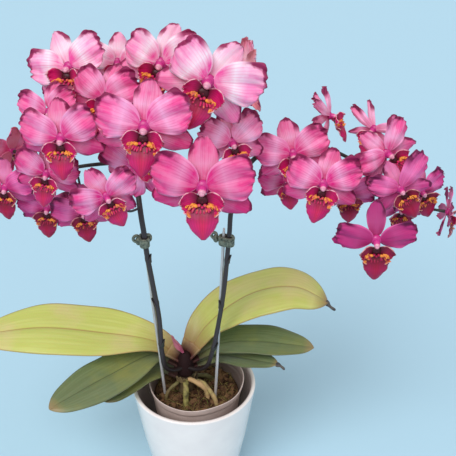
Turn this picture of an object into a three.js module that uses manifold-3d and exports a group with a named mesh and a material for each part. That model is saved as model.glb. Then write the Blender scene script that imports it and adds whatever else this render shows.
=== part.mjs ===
// A potted moth orchid: a branching Phalaenopsis with two arching flower spikes, in a clear
// grow pot of bark that stands in a white glazed cover pot.
// Millimetres, +Z up. The origin is the centre of the cover pot's underside, and the front is -Y.

import * as THREE from 'three';
import { mergeVertices } from 'three/addons/utils/BufferGeometryUtils.js';
import Module from 'manifold-3d';

const wasm = await Module();
wasm.setup();

// Driving dimensions
const GAP = 0.3;                 // air left between two pieces that touch
const POT = { height: 125, rimRadius: 65, footRadius: 44, wall: 4.5, floor: 6, sides: 28 };
const LINER = { height: 122, rimRadius: 50.5, footRadius: 34, wall: 1.3, shift: 2, sides: 24 };
const MEDIUM = { top: 111, bump: 2.2, rings: 4, sides: 14, chips: 7 };
const CROWN = { x: -9, y: 0, bottom: 134, top: 163, radius: 9.5 };
const STEM = { radius: 2.5, rachis: 1.9, pedicel: 1.1 };
const STAKE = { radius: 1.5, foot: 30, top: 324 };
const CLIP = { height: 9, wall: 2.2, z: 310 };
const LEAF_THICKNESS = 1.9;
const PETAL_THICKNESS = 0.8;
const PETIOLE_END = 0.09;        // where a leaf parts from its sheath, as a share of its length

const COLOURS = {
  glaze: 0xe9e7e6,
  liner: 0xb79a90,
  bark: 0x4a3226,
  root: 0xa39a55,
  crown: 0x5a3a2c,
  youngLeaf: 0xb4606a,
  upperLeaf: 0x9aa548,
  lowerLeaf: 0x4f6538,
  stem: 0x4c5348,
  stake: 0x8b9299,
  clip: 0x24412c,
  rose: 0xd8589a,
  pale: 0xe88bb8,
  purple: 0xb23a86,
  lip: 0xa3123f,
};

const DEG = Math.PI / 180;
const UP = new THREE.Vector3(0, 0, 1);
const vec = (x, y, z) => new THREE.Vector3(x, y, z);

// Solids

function solidOf(geometry) {
  const bare = geometry.clone();
  bare.deleteAttribute('normal');
  bare.deleteAttribute('uv');
  const merged = mergeVertices(bare, 1e-4);
  const mesh = new wasm.Mesh({
    numProp: 3,
    vertProperties: new Float32Array(merged.attributes.position.array),
    triVerts: new Uint32Array(merged.index.array),
  });
  return new wasm.Manifold(mesh);
}

function geometryOf(solid) {
  const mesh = solid.getMesh();
  const geometry = new THREE.BufferGeometry();
  geometry.setAttribute('position', new THREE.BufferAttribute(mesh.vertProperties, 3));
  geometry.setIndex(new THREE.BufferAttribute(mesh.triVerts, 1));
  return geometry;
}

// Joins solids into one body, filling any sealed hollow and dropping any loose scrap.
function fuse(solids) {
  const joined = solids.reduce((all, next) => all.add(next));
  const bodies = joined.decompose();
  bodies.sort((a, b) => b.volume() - a.volume());
  return bodies[0];
}

// A closed tube of even radius through the points, with flat ends.
function tube(points, radius, sides, steps) {
  const section = new THREE.Shape();
  for (let i = 0; i < sides; i += 1) {
    const angle = (i / sides) * 2 * Math.PI;
    const place = [radius * Math.cos(angle), radius * Math.sin(angle)];
    if (i === 0) section.moveTo(...place);
    else section.lineTo(...place);
  }
  section.closePath();
  const path = new THREE.CatmullRomCurve3(points, false, 'centripetal');
  return solidOf(new THREE.ExtrudeGeometry(section, { steps, bevelEnabled: false, extrudePath: path }));
}

function lathe(profile, sides) {
  const outline = profile.map(([radius, height]) => new THREE.Vector2(radius, height));
  const geometry = new THREE.LatheGeometry(outline, sides);
  geometry.rotateX(Math.PI / 2);
  return solidOf(geometry);
}

// A thin blade: surface(u, v) for u in 0..1 and v in -1..1 gives its middle, which is thickened
// evenly to both sides. Both faces and all cells are split along the same diagonal.
function blade(surface, rows, columns, thickness) {
  const positions = [];
  const step = 0.02;
  for (const side of [1, -1]) {
    for (let i = 0; i <= rows; i += 1) {
      for (let j = 0; j <= columns; j += 1) {
        const u = i / rows;
        const v = (2 * j) / columns - 1;
        const alongU = surface(Math.min(u + step, 1), v).sub(surface(Math.max(u - step, 0), v));
        const alongV = surface(u, Math.min(v + step, 1)).sub(surface(u, Math.max(v - step, -1)));
        const normal = alongU.cross(alongV).normalize();
        const point = surface(u, v).addScaledVector(normal, (side * thickness) / 2);
        positions.push(point.x, point.y, point.z);
      }
    }
  }
  const width = columns + 1;
  const layer = (rows + 1) * width;
  const index = [];
  for (let i = 0; i < rows; i += 1) {
    for (let j = 0; j < columns; j += 1) {
      const a = i * width + j;
      const b = a + width;
      index.push(a, b, b + 1, a, b + 1, a + 1);
      index.push(layer + a, layer + b + 1, layer + b, layer + a, layer + a + 1, layer + b + 1);
    }
  }
  const rim = [];
  for (let j = 0; j < columns; j += 1) rim.push(j);
  for (let i = 0; i < rows; i += 1) rim.push(i * width + columns);
  for (let j = columns; j > 0; j -= 1) rim.push(rows * width + j);
  for (let i = rows; i > 0; i -= 1) rim.push(i * width);
  rim.forEach((a, k) => {
    const b = rim[(k + 1) % rim.length];
    index.push(a, b, layer + b, a, layer + b, layer + a);
  });
  const geometry = new THREE.BufferGeometry();
  geometry.setAttribute('position', new THREE.Float32BufferAttribute(positions, 3));
  geometry.setIndex(index);
  return solidOf(geometry);
}

// Blades that spring from one hub, as one closed body. They come anticlockwise as seen from the
// front. A blade starts with one edge on the hub, of its full wall there, and then has a row of
// cells for each value in rows. The hub's faces run in to one front and one back point.
function rosette(blades, front, back, hubWall) {
  const faces = [];
  const positions = [[], []];
  const hubRing = [];
  const walls = [];
  let count = 0;
  for (const { surface, rows, columns } of blades) {
    const put = (u, v, wall) => {
      const step = 0.02;
      const alongU = surface(Math.min(u + step, 1), v).sub(surface(Math.max(u - step, 0), v));
      const alongV = surface(u, Math.min(v + step, 1)).sub(surface(u, Math.max(v - step, -1)));
      const normal = alongU.cross(alongV).normalize();
      positions[0].push(surface(u, v).addScaledVector(normal, wall));
      positions[1].push(surface(u, v).addScaledVector(normal, -wall));
      count += 1;
      return count - 1;
    };
    const first = put(0, -1, hubWall);
    const last = put(0, 1, hubWall);
    const grid = rows.map((u) => {
      const row = [];
      for (let j = 0; j <= columns; j += 1) row.push(put(u, (2 * j) / columns - 1, PETAL_THICKNESS / 2));
      return row;
    });
    const half = Math.floor(columns / 2);
    for (let j = 0; j < columns; j += 1) {
      const pivot = j < half ? first : last;
      faces.push([pivot, grid[0][j], grid[0][j + 1]]);
    }
    faces.push([first, grid[0][half], last]);
    for (let i = 0; i + 1 < grid.length; i += 1) {
      for (let j = 0; j < columns; j += 1) {
        faces.push([grid[i][j], grid[i + 1][j], grid[i + 1][j + 1]]);
        faces.push([grid[i][j], grid[i + 1][j + 1], grid[i][j + 1]]);
      }
    }
    const outward = grid.map((row) => row[0]);
    const inward = grid.map((row) => row[columns]).reverse();
    walls.push([first, ...outward, ...grid.at(-1).slice(1, -1), ...inward, last]);
    hubRing.push(first, last);
  }
  const centre = count;
  positions[0].push(front);
  positions[1].push(back);
  hubRing.forEach((vertex, k) => {
    const next = hubRing[(k + 1) % hubRing.length];
    faces.push([centre, vertex, next]);
    if (k % 2 === 1) walls.push([vertex, next]);
  });
  const layer = positions[0].length;
  const index = faces.flat();
  for (const [a, b, c] of faces) index.push(layer + a, layer + c, layer + b);
  for (const wall of walls) {
    for (let k = 0; k + 1 < wall.length; k += 1) {
      const [a, b] = [wall[k], wall[k + 1]];
      index.push(a, layer + a, layer + b, a, layer + b, b);
    }
  }
  const geometry = new THREE.BufferGeometry();
  const flat = positions.flat().flatMap((point) => [point.x, point.y, point.z]);
  geometry.setAttribute('position', new THREE.Float32BufferAttribute(flat, 3));
  geometry.setIndex(index);
  return solidOf(geometry);
}

const model = new THREE.Group();

function addNode(name, solid, colour, roughness, opacity = 1) {
  const material = new THREE.MeshStandardMaterial({ color: colour, roughness, metalness: 0 });
  material.opacity = opacity;
  material.transparent = opacity < 1;
  const mesh = new THREE.Mesh(geometryOf(solid), material);
  mesh.name = name;
  model.add(mesh);
}

// Cover pot: a tapered wall with a rounded rim, a solid floor and a shallow ring foot.
function coverPot() {
  const { height, rimRadius, footRadius, wall, floor, sides } = POT;
  const lip = wall / 2;
  return lathe([
    [0, 0],
    [footRadius - 2, 0],
    [footRadius, 2],
    [footRadius + (rimRadius - footRadius) * 0.55, height * 0.5],
    [rimRadius, height - lip],
    [rimRadius - lip * 0.35, height - lip * 0.3],
    [rimRadius - lip, height],
    [rimRadius - lip * 1.65, height - lip * 0.3],
    [rimRadius - wall, height - lip],
    [footRadius + (rimRadius - footRadius) * 0.55 - wall, height * 0.5],
    [footRadius - wall, floor + 3],
    [footRadius - wall - 3, floor],
    [0, floor],
  ], sides);
}

// Grow pot: a thin clear cup with a turned-out rim and drain holes in its floor.
function growPot() {
  const { height, rimRadius, footRadius, wall, sides } = LINER;
  const foot = POT.floor + GAP;
  const top = foot + height;
  const shoulder = rimRadius - 3;
  let cup = lathe([
    [0, foot],
    [footRadius, foot],
    [shoulder, top - 9],
    [shoulder + 1.6, top - 7],
    [rimRadius, top],
    [rimRadius - wall, top],
    [shoulder + 1.6 - wall, top - 6.6],
    [shoulder - wall, top - 8.6],
    [footRadius - wall, foot + wall],
    [0, foot + wall],
  ], sides);
  for (let i = 0; i < 5; i += 1) {
    const angle = (i / 5) * 2 * Math.PI;
    const hole = new THREE.CylinderGeometry(3.5, 3.5, 6, 6);
    hole.rotateX(Math.PI / 2);
    hole.translate(22 * Math.cos(angle), 22 * Math.sin(angle), foot + wall / 2);
    cup = cup.subtract(solidOf(hole));
  }
  return cup.translate([LINER.shift, 0, 0]);
}

// A repeatable draw between 0 and 1 for a numbered piece.
function draw(seed) {
  const wave = Math.sin(seed * 12.9898) * 43758.5453;
  return wave - Math.floor(wave);
}

// Growing medium: bark and moss that fill the grow pot, with a lumpy top and loose bark chips.
function growingMedium() {
  const { top, bump, rings, sides } = MEDIUM;
  const clear = LINER.wall + GAP;
  const foot = POT.floor + GAP + clear;
  const slope = (LINER.rimRadius - 3 - LINER.footRadius) / (LINER.height - 9);
  const radiusAt = (z) => LINER.footRadius + slope * (z - POT.floor - GAP) - clear - 0.3;
  const profile = [[0, foot], [radiusAt(foot), foot]];
  for (let i = 0; i <= rings; i += 1) profile.push([radiusAt(top) * (1 - i / rings), top]);
  const outline = profile.map(([radius, height]) => new THREE.Vector2(radius, height));
  const geometry = new THREE.LatheGeometry(outline, sides);
  geometry.rotateX(Math.PI / 2);
  const place = geometry.attributes.position;
  for (let i = 0; i < place.count; i += 1) {
    const x = place.getX(i);
    const y = place.getY(i);
    const lumps = Math.sin(x * 0.23 + 1) * Math.cos(y * 0.27) + 0.6 * Math.sin(x * 0.11 - y * 0.4);
    const inside = Math.hypot(x, y) < radiusAt(top) - 1;
    if (place.getZ(i) > top - 1 && inside) place.setZ(i, top + bump * lumps);
  }
  const pieces = [solidOf(geometry)];
  for (let i = 0; i < MEDIUM.chips; i += 1) {
    const angle = i * 2.4;
    const radius = 12 + 22 * Math.sqrt(draw(i + 3));
    const chip = new THREE.BoxGeometry(9 + 7 * draw(i), 6 + 4 * draw(i + 40), 5);
    chip.rotateX((draw(i + 80) - 0.5) * 0.9);
    chip.rotateZ(angle * 1.7);
    chip.translate(radius * Math.cos(angle), radius * Math.sin(angle), top + 0.6);
    pieces.push(solidOf(chip));
  }
  return fuse(pieces).translate([LINER.shift, 0, 0]);
}

// Leaves. Each centre line runs from the crown to the tip, and width is the half width at the
// broadest place. Roll turns the blade about its line, positive with the back edge up: the first
// value is at the base, and the second is reached halfway and kept to the tip. Fold keels the blade.
const LEAVES = {
  leaf_left_upper: {
    line: [[-10, 3, 151], [-38, 10, 168], [-98, 5, 184], [-155, 0, 193], [-218, -6, 188]],
    width: 34, roll: [34, 4], fold: 0.1, colour: COLOURS.upperLeaf,
  },
  leaf_left_middle: {
    line: [[-12, 1, 145], [-36, 9, 154], [-84, -30, 160], [-134, -74, 152]],
    width: 24, roll: [30, 4], fold: 0.12, colour: COLOURS.lowerLeaf,
  },
  leaf_left_lower: {
    line: [[-12, 1, 139], [-34, 12, 140], [-62, -14, 145], [-86, -50, 140]],
    width: 17, roll: [24, 4], fold: 0.12, colour: COLOURS.lowerLeaf,
  },
  leaf_right_upper: {
    line: [[-8, 4, 154], [14, 15, 186], [60, 16, 224], [103, 9, 236], [135, 0, 224]],
    width: 38, roll: [36, -6], fold: 0.1, colour: COLOURS.upperLeaf,
  },
  leaf_right_middle: {
    line: [[-6, 3, 148], [24, 8, 166], [60, -2, 178], [122, -14, 179]],
    width: 22, roll: [34, 4], fold: 0.12, colour: COLOURS.lowerLeaf,
  },
  leaf_right_lower: {
    line: [[-6, 2, 142], [24, 6, 152], [54, -16, 158], [90, -34, 160]],
    width: 15, roll: [34, 4], fold: 0.12, colour: COLOURS.lowerLeaf,
  },
};

// Half width along a leaf: a narrow channelled base, broadest past the middle, and a blunt tip.
function leafProfile(u) {
  return 0.22 * (1 - u) ** 3 + Math.sin(Math.PI * Math.min(1, 0.02 + 0.96 * u ** 1.1)) ** 0.82;
}

function leafSurface({ line, width, roll, fold }, start, end) {
  const path = new THREE.CatmullRomCurve3(line.map((point) => vec(...point)), false, 'centripetal');
  return (u, v) => {
    const along = start + (end - start) * u;
    const tangent = path.getTangentAt(along);
    const back = tangent.clone().cross(UP).normalize();
    if (back.y < 0) back.negate();
    const face = back.clone().cross(tangent).normalize();
    if (face.z < 0) face.negate();
    const turn = (roll[0] + (roll[1] - roll[0]) * Math.min(1, 2 * along)) * DEG;
    const across = back.clone().multiplyScalar(Math.cos(turn)).addScaledVector(face, Math.sin(turn));
    const up = face.clone().multiplyScalar(Math.cos(turn)).addScaledVector(back, -Math.sin(turn));
    const half = width * leafProfile(along);
    const keel = fold * half * Math.abs(v) + 0.5 * half * (1 - along) ** 4 * v * v;
    const wave = 0.9 * Math.sin(9 * along + 2 * v) * Math.abs(v) * along;
    return path.getPointAt(along).addScaledVector(across, half * v).addScaledVector(up, keel + wave);
  };
}

function leafSolid(leaf) {
  const length = new THREE.CatmullRomCurve3(leaf.line.map((point) => vec(...point))).getLength();
  return blade(leafSurface(leaf, PETIOLE_END + GAP / length, 0.985), 9, 4, LEAF_THICKNESS);
}

// Crown: the short stem, with the sheaths that each leaf breaks away from.
function crownSolid() {
  const { x, y, bottom, top, radius } = CROWN;
  const heart = lathe([
    [0, bottom],
    [radius * 0.8, bottom],
    [radius, bottom + 8],
    [radius * 0.85, top - 8],
    [radius * 0.4, top],
    [0, top],
  ], 7).translate([x, y, 0]);
  const sheaths = Object.values(LEAVES).map((leaf) => (
    blade(leafSurface(leaf, 0.01, PETIOLE_END), 1, 2, LEAF_THICKNESS + 0.6)
  ));
  return fuse([heart, ...sheaths]);
}

// The youngest leaf, still half rolled, stands up from the heart of the crown.
function youngLeaf() {
  const leaf = {
    line: [[-9.5, -2.5, CROWN.top + 4 * GAP], [-13, -3.5, 173], [-19, -3, 184]],
    width: 4.4, roll: [90, 90], fold: 0.6,
  };
  return blade(leafSurface(leaf, 0, 0.98), 4, 2, 1.4);
}

// Roots: the old stem below the crown, with thick roots that arch out and down into the bark.
const ROOTS = [
  [[-9, -3, 130], [-8, -14, 128], [-8, -21, 116], [-8, -22, 96]],
  [[-7, -3, 131], [2, -9, 131], [12, -12, 124], [17, -14, 98]],
  [[-5, -2, 127], [8, -6, 128], [22, -20, 118], [26, -25, 96]],
  [[-12, -3, 129], [-19, -9, 128], [-27, -13, 121], [-31, -15, 96]],
  [[-9, 3, 130], [-8, 14, 128], [-6, 24, 116], [-5, 27, 96]],
  [[-6, 2, 128], [6, 8, 126], [18, 15, 116], [22, 17, 96]],
];
const ROOT_RADIUS = [3, 2.6, 2.3, 1.8, 2.7, 2.4];

function rootTubes(spare) {
  return ROOTS.map((points, i) => (
    tube(points.map((point) => vec(...point)), ROOT_RADIUS[i] + spare, 5, 3)
  ));
}

function oldStem(spare) {
  const { x, y, bottom, radius } = CROWN;
  return lathe([
    [0, 88 - spare],
    [radius * 0.6 + spare, 88 - spare],
    [radius * 0.85 + spare, 118],
    [radius * 0.75 + spare, bottom - GAP],
    [0, bottom - GAP],
  ], 7).translate([x, y, 0]);
}

function rootsSolid() {
  return fuse([oldStem(0), ...rootTubes(0)]);
}

// Spikes. Each has a main stem tied to its stake and branches that carry the blooms.
const SPIKES = {
  left: {
    stem: [
      [-11, -5, 149], [-16, -11, 154], [-24, -17, 166], [-29, -21, 191], [-31, -23.5, 222],
      [-34.5, -28, 262], [-38, -31.8, 300], [-39, -33.8, 320], [-41, -32, 338], [-44.5, -18, 362],
      [-46, -4, 384], [-44, 8, 406],
    ],
    branches: [
      [[-45.5, -8, 377], [-60, 2, 378], [-86, 3, 378], [-112, 2, 372], [-138, 4, 362], [-150, 6, 356]],
      [[-44, 7, 404], [-54, 14, 414], [-70, 18, 423], [-82, 18, 428]],
      [[-44.5, 5, 400], [-34, 10, 418], [-12, 14, 428], [12, 14, 428], [30, 14, 426]],
    ],
  },
  right: {
    stem: [
      [-7, -5, 148], [3, -12, 155], [13, -17, 168], [21, -22, 188], [27.5, -26.3, 212],
      [33, -27.8, 254], [35.2, -30.8, 295], [37, -31.6, 320], [38.5, -28, 340],
      [46, -10, 362], [60, 6, 376], [80, 16, 384],
    ],
    branches: [
      [
        [79, 15.5, 383.5], [104, 22, 385], [130, 22, 378], [152, 20, 368], [172, 18, 357],
        [192, 20, 345], [212, 20, 329],
      ],
    ],
  },
};

// Blooms: hub place, span across the petals, and the way each one faces. Yaw turns it to the
// viewer's right, pitch lifts its face, roll turns it anticlockwise as seen from the front.
const BLOOMS = [
  { name: 'left_1', at: [-98, 0, 461], span: 72, yaw: -14, pitch: 16, roll: 2, tone: 'pale' },
  { name: 'left_2', at: [-62, 34, 456], span: 56, yaw: 4, pitch: 6, roll: -4, tone: 'pale' },
  { name: 'left_3', at: [-66, -22, 441], span: 66, yaw: -8, pitch: 6, roll: -12, tone: 'rose' },
  { name: 'left_4', at: [-21, 4, 463], span: 76, yaw: -4, pitch: 8, roll: -20, tone: 'pale', lip: true },
  { name: 'left_5', at: [20, -34, 459], span: 84, yaw: 2, pitch: 8, roll: -26, tone: 'pale', lip: true },
  { name: 'left_6', at: [-30, -62, 431], span: 80, yaw: 0, pitch: 8, roll: -4, tone: 'rose', lip: true },
  { name: 'left_7', at: [-97, -58, 420], span: 68, yaw: -4, pitch: 4, roll: 2, tone: 'rose', lip: true },
  { name: 'left_8', at: [-112, -27, 431], span: 55, yaw: -10, pitch: 6, roll: 14, tone: 'rose' },
  { name: 'left_9', at: [-116, -44, 383], span: 58, yaw: -4, pitch: 0, roll: -8, tone: 'rose', lip: true },
  { name: 'left_10', at: [-162, -16, 357], span: 58, yaw: -8, pitch: -2, roll: 4, tone: 'purple' },
  { name: 'left_11', at: [-163, 22, 377], span: 54, yaw: -125, pitch: 4, roll: 0, tone: 'rose' },
  { name: 'left_12', at: [-129, -8, 333], span: 58, yaw: -6, pitch: -6, roll: -2, tone: 'purple' },
  { name: 'left_13', at: [-93, -24, 337], span: 58, yaw: 6, pitch: -6, roll: 6, tone: 'purple', lip: true },
  { name: 'left_14', at: [-61, -80, 379], span: 58, yaw: 18, pitch: -6, roll: 24, tone: 'rose', lip: true },
  { name: 'left_15', at: [-42, -28, 384], span: 66, yaw: -10, pitch: -4, roll: 4, tone: 'purple' },
  { name: 'left_16', at: [51, 28, 446], span: 66, yaw: 150, pitch: 4, roll: 0, tone: 'pale' },
  { name: 'right_1', at: [16, -88, 391], span: 84, yaw: -4, pitch: 8, roll: 2, tone: 'rose', lip: true },
  { name: 'right_2', at: [39, -22, 402], span: 64, yaw: 16, pitch: 4, roll: 12, tone: 'rose' },
  { name: 'right_3', at: [94, 2, 382], span: 70, yaw: -4, pitch: 6, roll: 8, tone: 'rose' },
  { name: 'right_4', at: [93, 36, 340], span: 58, yaw: 2, pitch: -4, roll: 8, tone: 'rose' },
  { name: 'right_5', at: [118, -30, 367], span: 70, yaw: 0, pitch: 6, roll: -14, tone: 'rose', lip: true },
  { name: 'right_6', at: [129, 36, 406], span: 58, yaw: 72, pitch: 6, roll: 0, tone: 'rose' },
  { name: 'right_7', at: [168, 22, 398], span: 58, yaw: -38, pitch: 4, roll: 0, tone: 'rose' },
  { name: 'right_8', at: [174, -14, 389], span: 66, yaw: 22, pitch: 6, roll: 36, tone: 'rose', lip: true },
  { name: 'right_9', at: [178, -42, 367], span: 58, yaw: 6, pitch: 0, roll: 30, tone: 'purple' },
  { name: 'right_10', at: [211, -12, 352], span: 58, yaw: 25, pitch: -10, roll: 22, tone: 'purple' },
  { name: 'right_11', at: [164, -65, 331], span: 76, yaw: 0, pitch: -2, roll: 0, tone: 'purple', lip: true },
  { name: 'right_12', at: [240, 2, 324], span: 54, yaw: 76, pitch: -4, roll: 0, tone: 'purple' },
  { name: 'right_13', at: [147, 6, 341], span: 58, yaw: 4, pitch: -8, roll: 4, tone: 'purple' },
  { name: 'right_14', at: [197, 6, 326], span: 54, yaw: 4, pitch: -14, roll: 0, tone: 'purple' },
];

// The placing of a bloom whose own frame has x to its right, y up and z out of its face.
function facing({ yaw, pitch, roll, at }) {
  const turn = new THREE.Matrix4().makeRotationZ(yaw * DEG);
  turn.multiply(new THREE.Matrix4().makeRotationX((90 - pitch) * DEG));
  turn.multiply(new THREE.Matrix4().makeRotationZ(roll * DEG));
  return turn.setPosition(...at);
}

// The hub of a bloom, as shares of its span: the ring where the tepals start, how far its middle
// stands out, half its wall, and where the lip's claw ends when it is fused or a piece by itself.
const HUB = { ring: 0.05, depth: 0.045, wall: 0.018, fusedLip: [0, 0.005], looseLip: [-0.0425, 0.0075] };

// The five tepals anticlockwise: the angle each one points to, its length and half width as shares
// of the span, where its foot starts on the hub and how far its foot stands before or behind the
// hub's middle. The two broad petals stand in front of the three sepals.
const TEPALS = [
  { angle: 8, long: 0.5, wide: 0.25, start: 22, front: 0.022, petal: true },
  { angle: 90, long: 0.46, wide: 0.14, start: 26, front: -0.022, petal: false },
  { angle: 172, long: 0.5, wide: 0.25, start: 22, front: 0.022, petal: true },
  { angle: 218, long: 0.52, wide: 0.14, start: 18, front: -0.022, petal: false },
  { angle: 322, long: 0.52, wide: 0.14, start: 18, front: -0.022, petal: false },
];

// A tepal broadens from its foot on the hub to past its middle and narrows to a blunt tip. It curls
// along its length and bends back at its sides, and its outer edge is waved.
function tepalSurface(tepal, span, phase) {
  const { angle, long, wide, start, front, petal } = tepal;
  const lean = angle * DEG;
  const first = [HUB.ring * Math.cos(start * DEG), HUB.ring * Math.sin(start * DEG)];
  return (u, v) => {
    const widest = wide * Math.sin(Math.PI * Math.min(1, 0.82 * u ** 0.9)) ** (petal ? 0.75 : 0.65);
    const across = v * (first[1] * (1 - u) ** 4 + widest);
    const along = first[0] + (long - first[0]) * u * (1 - 0.14 * v * v * u);
    const curl = petal ? 0.1 * u - 0.12 * u * u : -0.02 * u - 0.05 * u * u;
    const bend = (petal ? 0.043 : 0.035) * v * v * u;
    const wave = (petal ? 0.02 : 0.008) * u * u * Math.sin(5.2 * v + 3 * u + phase);
    const x = along * Math.cos(lean) - across * Math.sin(lean);
    const y = along * Math.sin(lean) + across * Math.cos(lean);
    const z = front + curl + (petal ? Math.max(wave - bend, -curl - 0.5 * front) : wave - bend);
    return vec(x, y, petal ? z : Math.min(z, front)).multiplyScalar(span);
  };
}

// The lip has two side lobes that cup the column and a pointed middle lobe that hangs forward. Its
// foot is the place of the first side lobe's base, as shares of the span.
const LIP_FOOT = [0.028, -0.105, 0.06];

function sideLobe(side, span) {
  return (u, v) => {
    const w = side * v;
    const spread = 0.108 * Math.sin(Math.PI * (0.1 + 0.7 * u)) ** 0.8;
    const x = LIP_FOOT[0] + 0.18 * u + 0.035 * w * u;
    const y = LIP_FOOT[1] - 0.055 * u + 0.9 * spread * w;
    const z = LIP_FOOT[2] + 0.11 * u - 0.05 * u * u + 0.35 * spread * w + 0.03 * w * w * u;
    return vec(side * x, y, z).multiplyScalar(span);
  };
}

function middleLobe(span) {
  return (u, v) => {
    const spread = 0.15 * Math.sin(Math.PI * (0.08 + 0.86 * u));
    const y = LIP_FOOT[1] - 0.035 - 0.34 * u;
    const z = LIP_FOOT[2] + 0.01 + 0.09 * Math.sin(Math.PI * 0.8 * u) - 0.5 * v * v * spread * u;
    return vec(spread * v, y, z).multiplyScalar(span);
  };
}

function lipSolid(span, [clawY, clawZ]) {
  const lobes = [
    { surface: sideLobe(-1, span), rows: [0.5, 1], columns: 2 },
    { surface: middleLobe(span), rows: [0.36, 0.7, 1], columns: 2 },
    { surface: sideLobe(1, span), rows: [0.5, 1], columns: 2 },
  ];
  const throat = vec(0, LIP_FOOT[1], LIP_FOOT[2] + 0.012).multiplyScalar(span);
  const claw = vec(0, clawY, clawZ).multiplyScalar(span);
  return rosette(lobes, throat, claw, 0.01 * span);
}

function bloomSolids({ span, lip }, index) {
  const phase = 6 * draw(index + 1);
  const tepals = TEPALS.map((tepal, i) => ({
    surface: tepalSurface(tepal, span, phase + i),
    rows: tepal.petal ? [0.36, 0.7, 1] : [0.5, 1],
    columns: tepal.petal ? 3 : 2,
  }));
  const face = vec(0, 0, HUB.depth * span);
  const flower = rosette(tepals, face, face.clone().negate(), HUB.wall * span);
  const column = tube([vec(0, 0, 0), vec(0, -0.03 * span, 0.15 * span)], 0.034 * span, 4, 1);
  const parts = [flower, column];
  if (!lip) parts.push(lipSolid(span, HUB.fusedLip));
  return { flower: fuse(parts), lip: lip ? lipSolid(span, HUB.looseLip) : null };
}

// Places that some flower stalks pass through on their way round the blooms in front of them.
const DETOURS = {
  left_14: [-50, -48, 350],
  right_5: [132, 0, 371],
  right_10: [213, 9, 344],
  right_11: [181, -9, 350],
  right_12: [224, 12, 322],
};

// A flower stalk from the nearest point of a branch to just behind the bloom's hub.
function pedicel(bloom, curves) {
  const turn = facing(bloom);
  const end = vec(0, 0, -HUB.depth * bloom.span - GAP).applyMatrix4(turn);
  const approach = vec(0, 0, -HUB.depth * bloom.span - 9).applyMatrix4(turn);
  const detour = DETOURS[bloom.name];
  const goal = detour ? vec(...detour) : approach;
  let root = null;
  for (const curve of curves) {
    for (const point of curve.getSpacedPoints(24)) {
      if (root === null || point.distanceTo(goal) < root.distanceTo(goal)) root = point;
    }
  }
  const middle = detour ? goal : root.clone().lerp(approach, 0.5);
  middle.y = detour ? middle.y : Math.max(middle.y, approach.y);
  return tube([root, middle, approach, end], STEM.pedicel, 3, 3);
}

const curveOf = (points) => new THREE.CatmullRomCurve3(
  points.map((point) => vec(...point)),
  false,
  'centripetal',
);

// Stem nodes: each is a slight ring on the stem with a small pointed bract.
function stemNode(curve, along) {
  const place = curve.getPointAt(along);
  const bract = new THREE.ConeGeometry(STEM.radius + 1.1, 12, 4);
  bract.rotateX(Math.PI / 2);
  bract.translate(place.x, place.y, place.z);
  return solidOf(bract);
}

function spikeSolid(side) {
  const { stem, branches } = SPIKES[side];
  const main = curveOf(stem);
  const curves = branches.map(curveOf);
  const stemTop = curveOf(stem.slice(-5));
  const parts = [tube(stem.map((point) => vec(...point)), STEM.radius, 6, 20)];
  for (const branch of branches) {
    parts.push(tube(branch.map((point) => vec(...point)), STEM.rachis, 5, 8));
  }
  for (const along of [0.2, 0.38, 0.56]) parts.push(stemNode(main, along));
  for (const bloom of BLOOMS.filter(({ name }) => name.startsWith(side))) {
    parts.push(pedicel(bloom, [stemTop, ...curves]));
  }
  return fuse(parts);
}

// Stakes stand in the bark beside each stem, and a moulded clip holds stem and stake together.
const STAKES = {
  left: { foot: [-26.4, 0, STAKE.foot], top: [-40.7, -29.4, STAKE.top] },
  right: { foot: [18.5, -7, STAKE.foot], top: [32.2, -30.5, STAKE.top] },
};

function stakeSolid(side, spare) {
  const { foot, top } = STAKES[side];
  const lower = vec(foot[0], foot[1], foot[2] - spare);
  return tube([lower, vec(...top)], STAKE.radius + spare, 6, 1);
}

function clipSolid(side) {
  const { foot, top } = STAKES[side];
  const share = (CLIP.z - foot[2]) / (top[2] - foot[2]);
  const stakeAt = vec(...foot).lerp(vec(...top), share);
  const stem = SPIKES[side].stem.map((point) => vec(...point));
  const stemAt = stem.find((point) => point.z >= CLIP.z - 10);
  const middle = stakeAt.clone().lerp(stemAt, 0.5);
  const apart = Math.hypot(stakeAt.x - stemAt.x, stakeAt.y - stemAt.y);
  const lean = Math.atan2(stemAt.y - stakeAt.y, stemAt.x - stakeAt.x);
  const half = apart / 2;
  const round = STEM.radius + CLIP.wall;
  const outline = new THREE.Shape();
  outline.absarc(half, 0, round, -Math.PI / 2, Math.PI / 2, false);
  outline.absarc(-half, 0, round, Math.PI / 2, (3 * Math.PI) / 2, false);
  const shape = { depth: CLIP.height, bevelEnabled: false, curveSegments: 4 };
  const body = new THREE.ExtrudeGeometry(outline, shape);
  body.translate(0, 0, CLIP.z - CLIP.height / 2);
  const ears = [-1, 1].map((end) => {
    const ear = new THREE.CylinderGeometry(4.2, 4.2, 2, 6);
    ear.translate(end * (half + round + 1.5), 0, CLIP.z + 5);
    return solidOf(ear);
  });
  const place = new THREE.Matrix4().makeRotationZ(lean).setPosition(middle.x, middle.y, 0);
  let clip = fuse([solidOf(body), ...ears]).transform(place.toArray());
  clip = clip.subtract(stakeSolid(side, GAP));
  return clip.subtract(tube(stem, STEM.radius + GAP, 6, 20));
}

// Assembly
addNode('pot', coverPot(), COLOURS.glaze, 0.15);
addNode('liner', growPot(), COLOURS.liner, 0.2, 0.45);

let medium = growingMedium();
for (const hole of [oldStem(GAP), ...rootTubes(GAP), stakeSolid('left', GAP), stakeSolid('right', GAP)]) {
  medium = medium.subtract(hole);
}
addNode('medium', fuse([medium]), COLOURS.bark, 0.95);
addNode('roots', rootsSolid(), COLOURS.root, 0.7);

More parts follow.
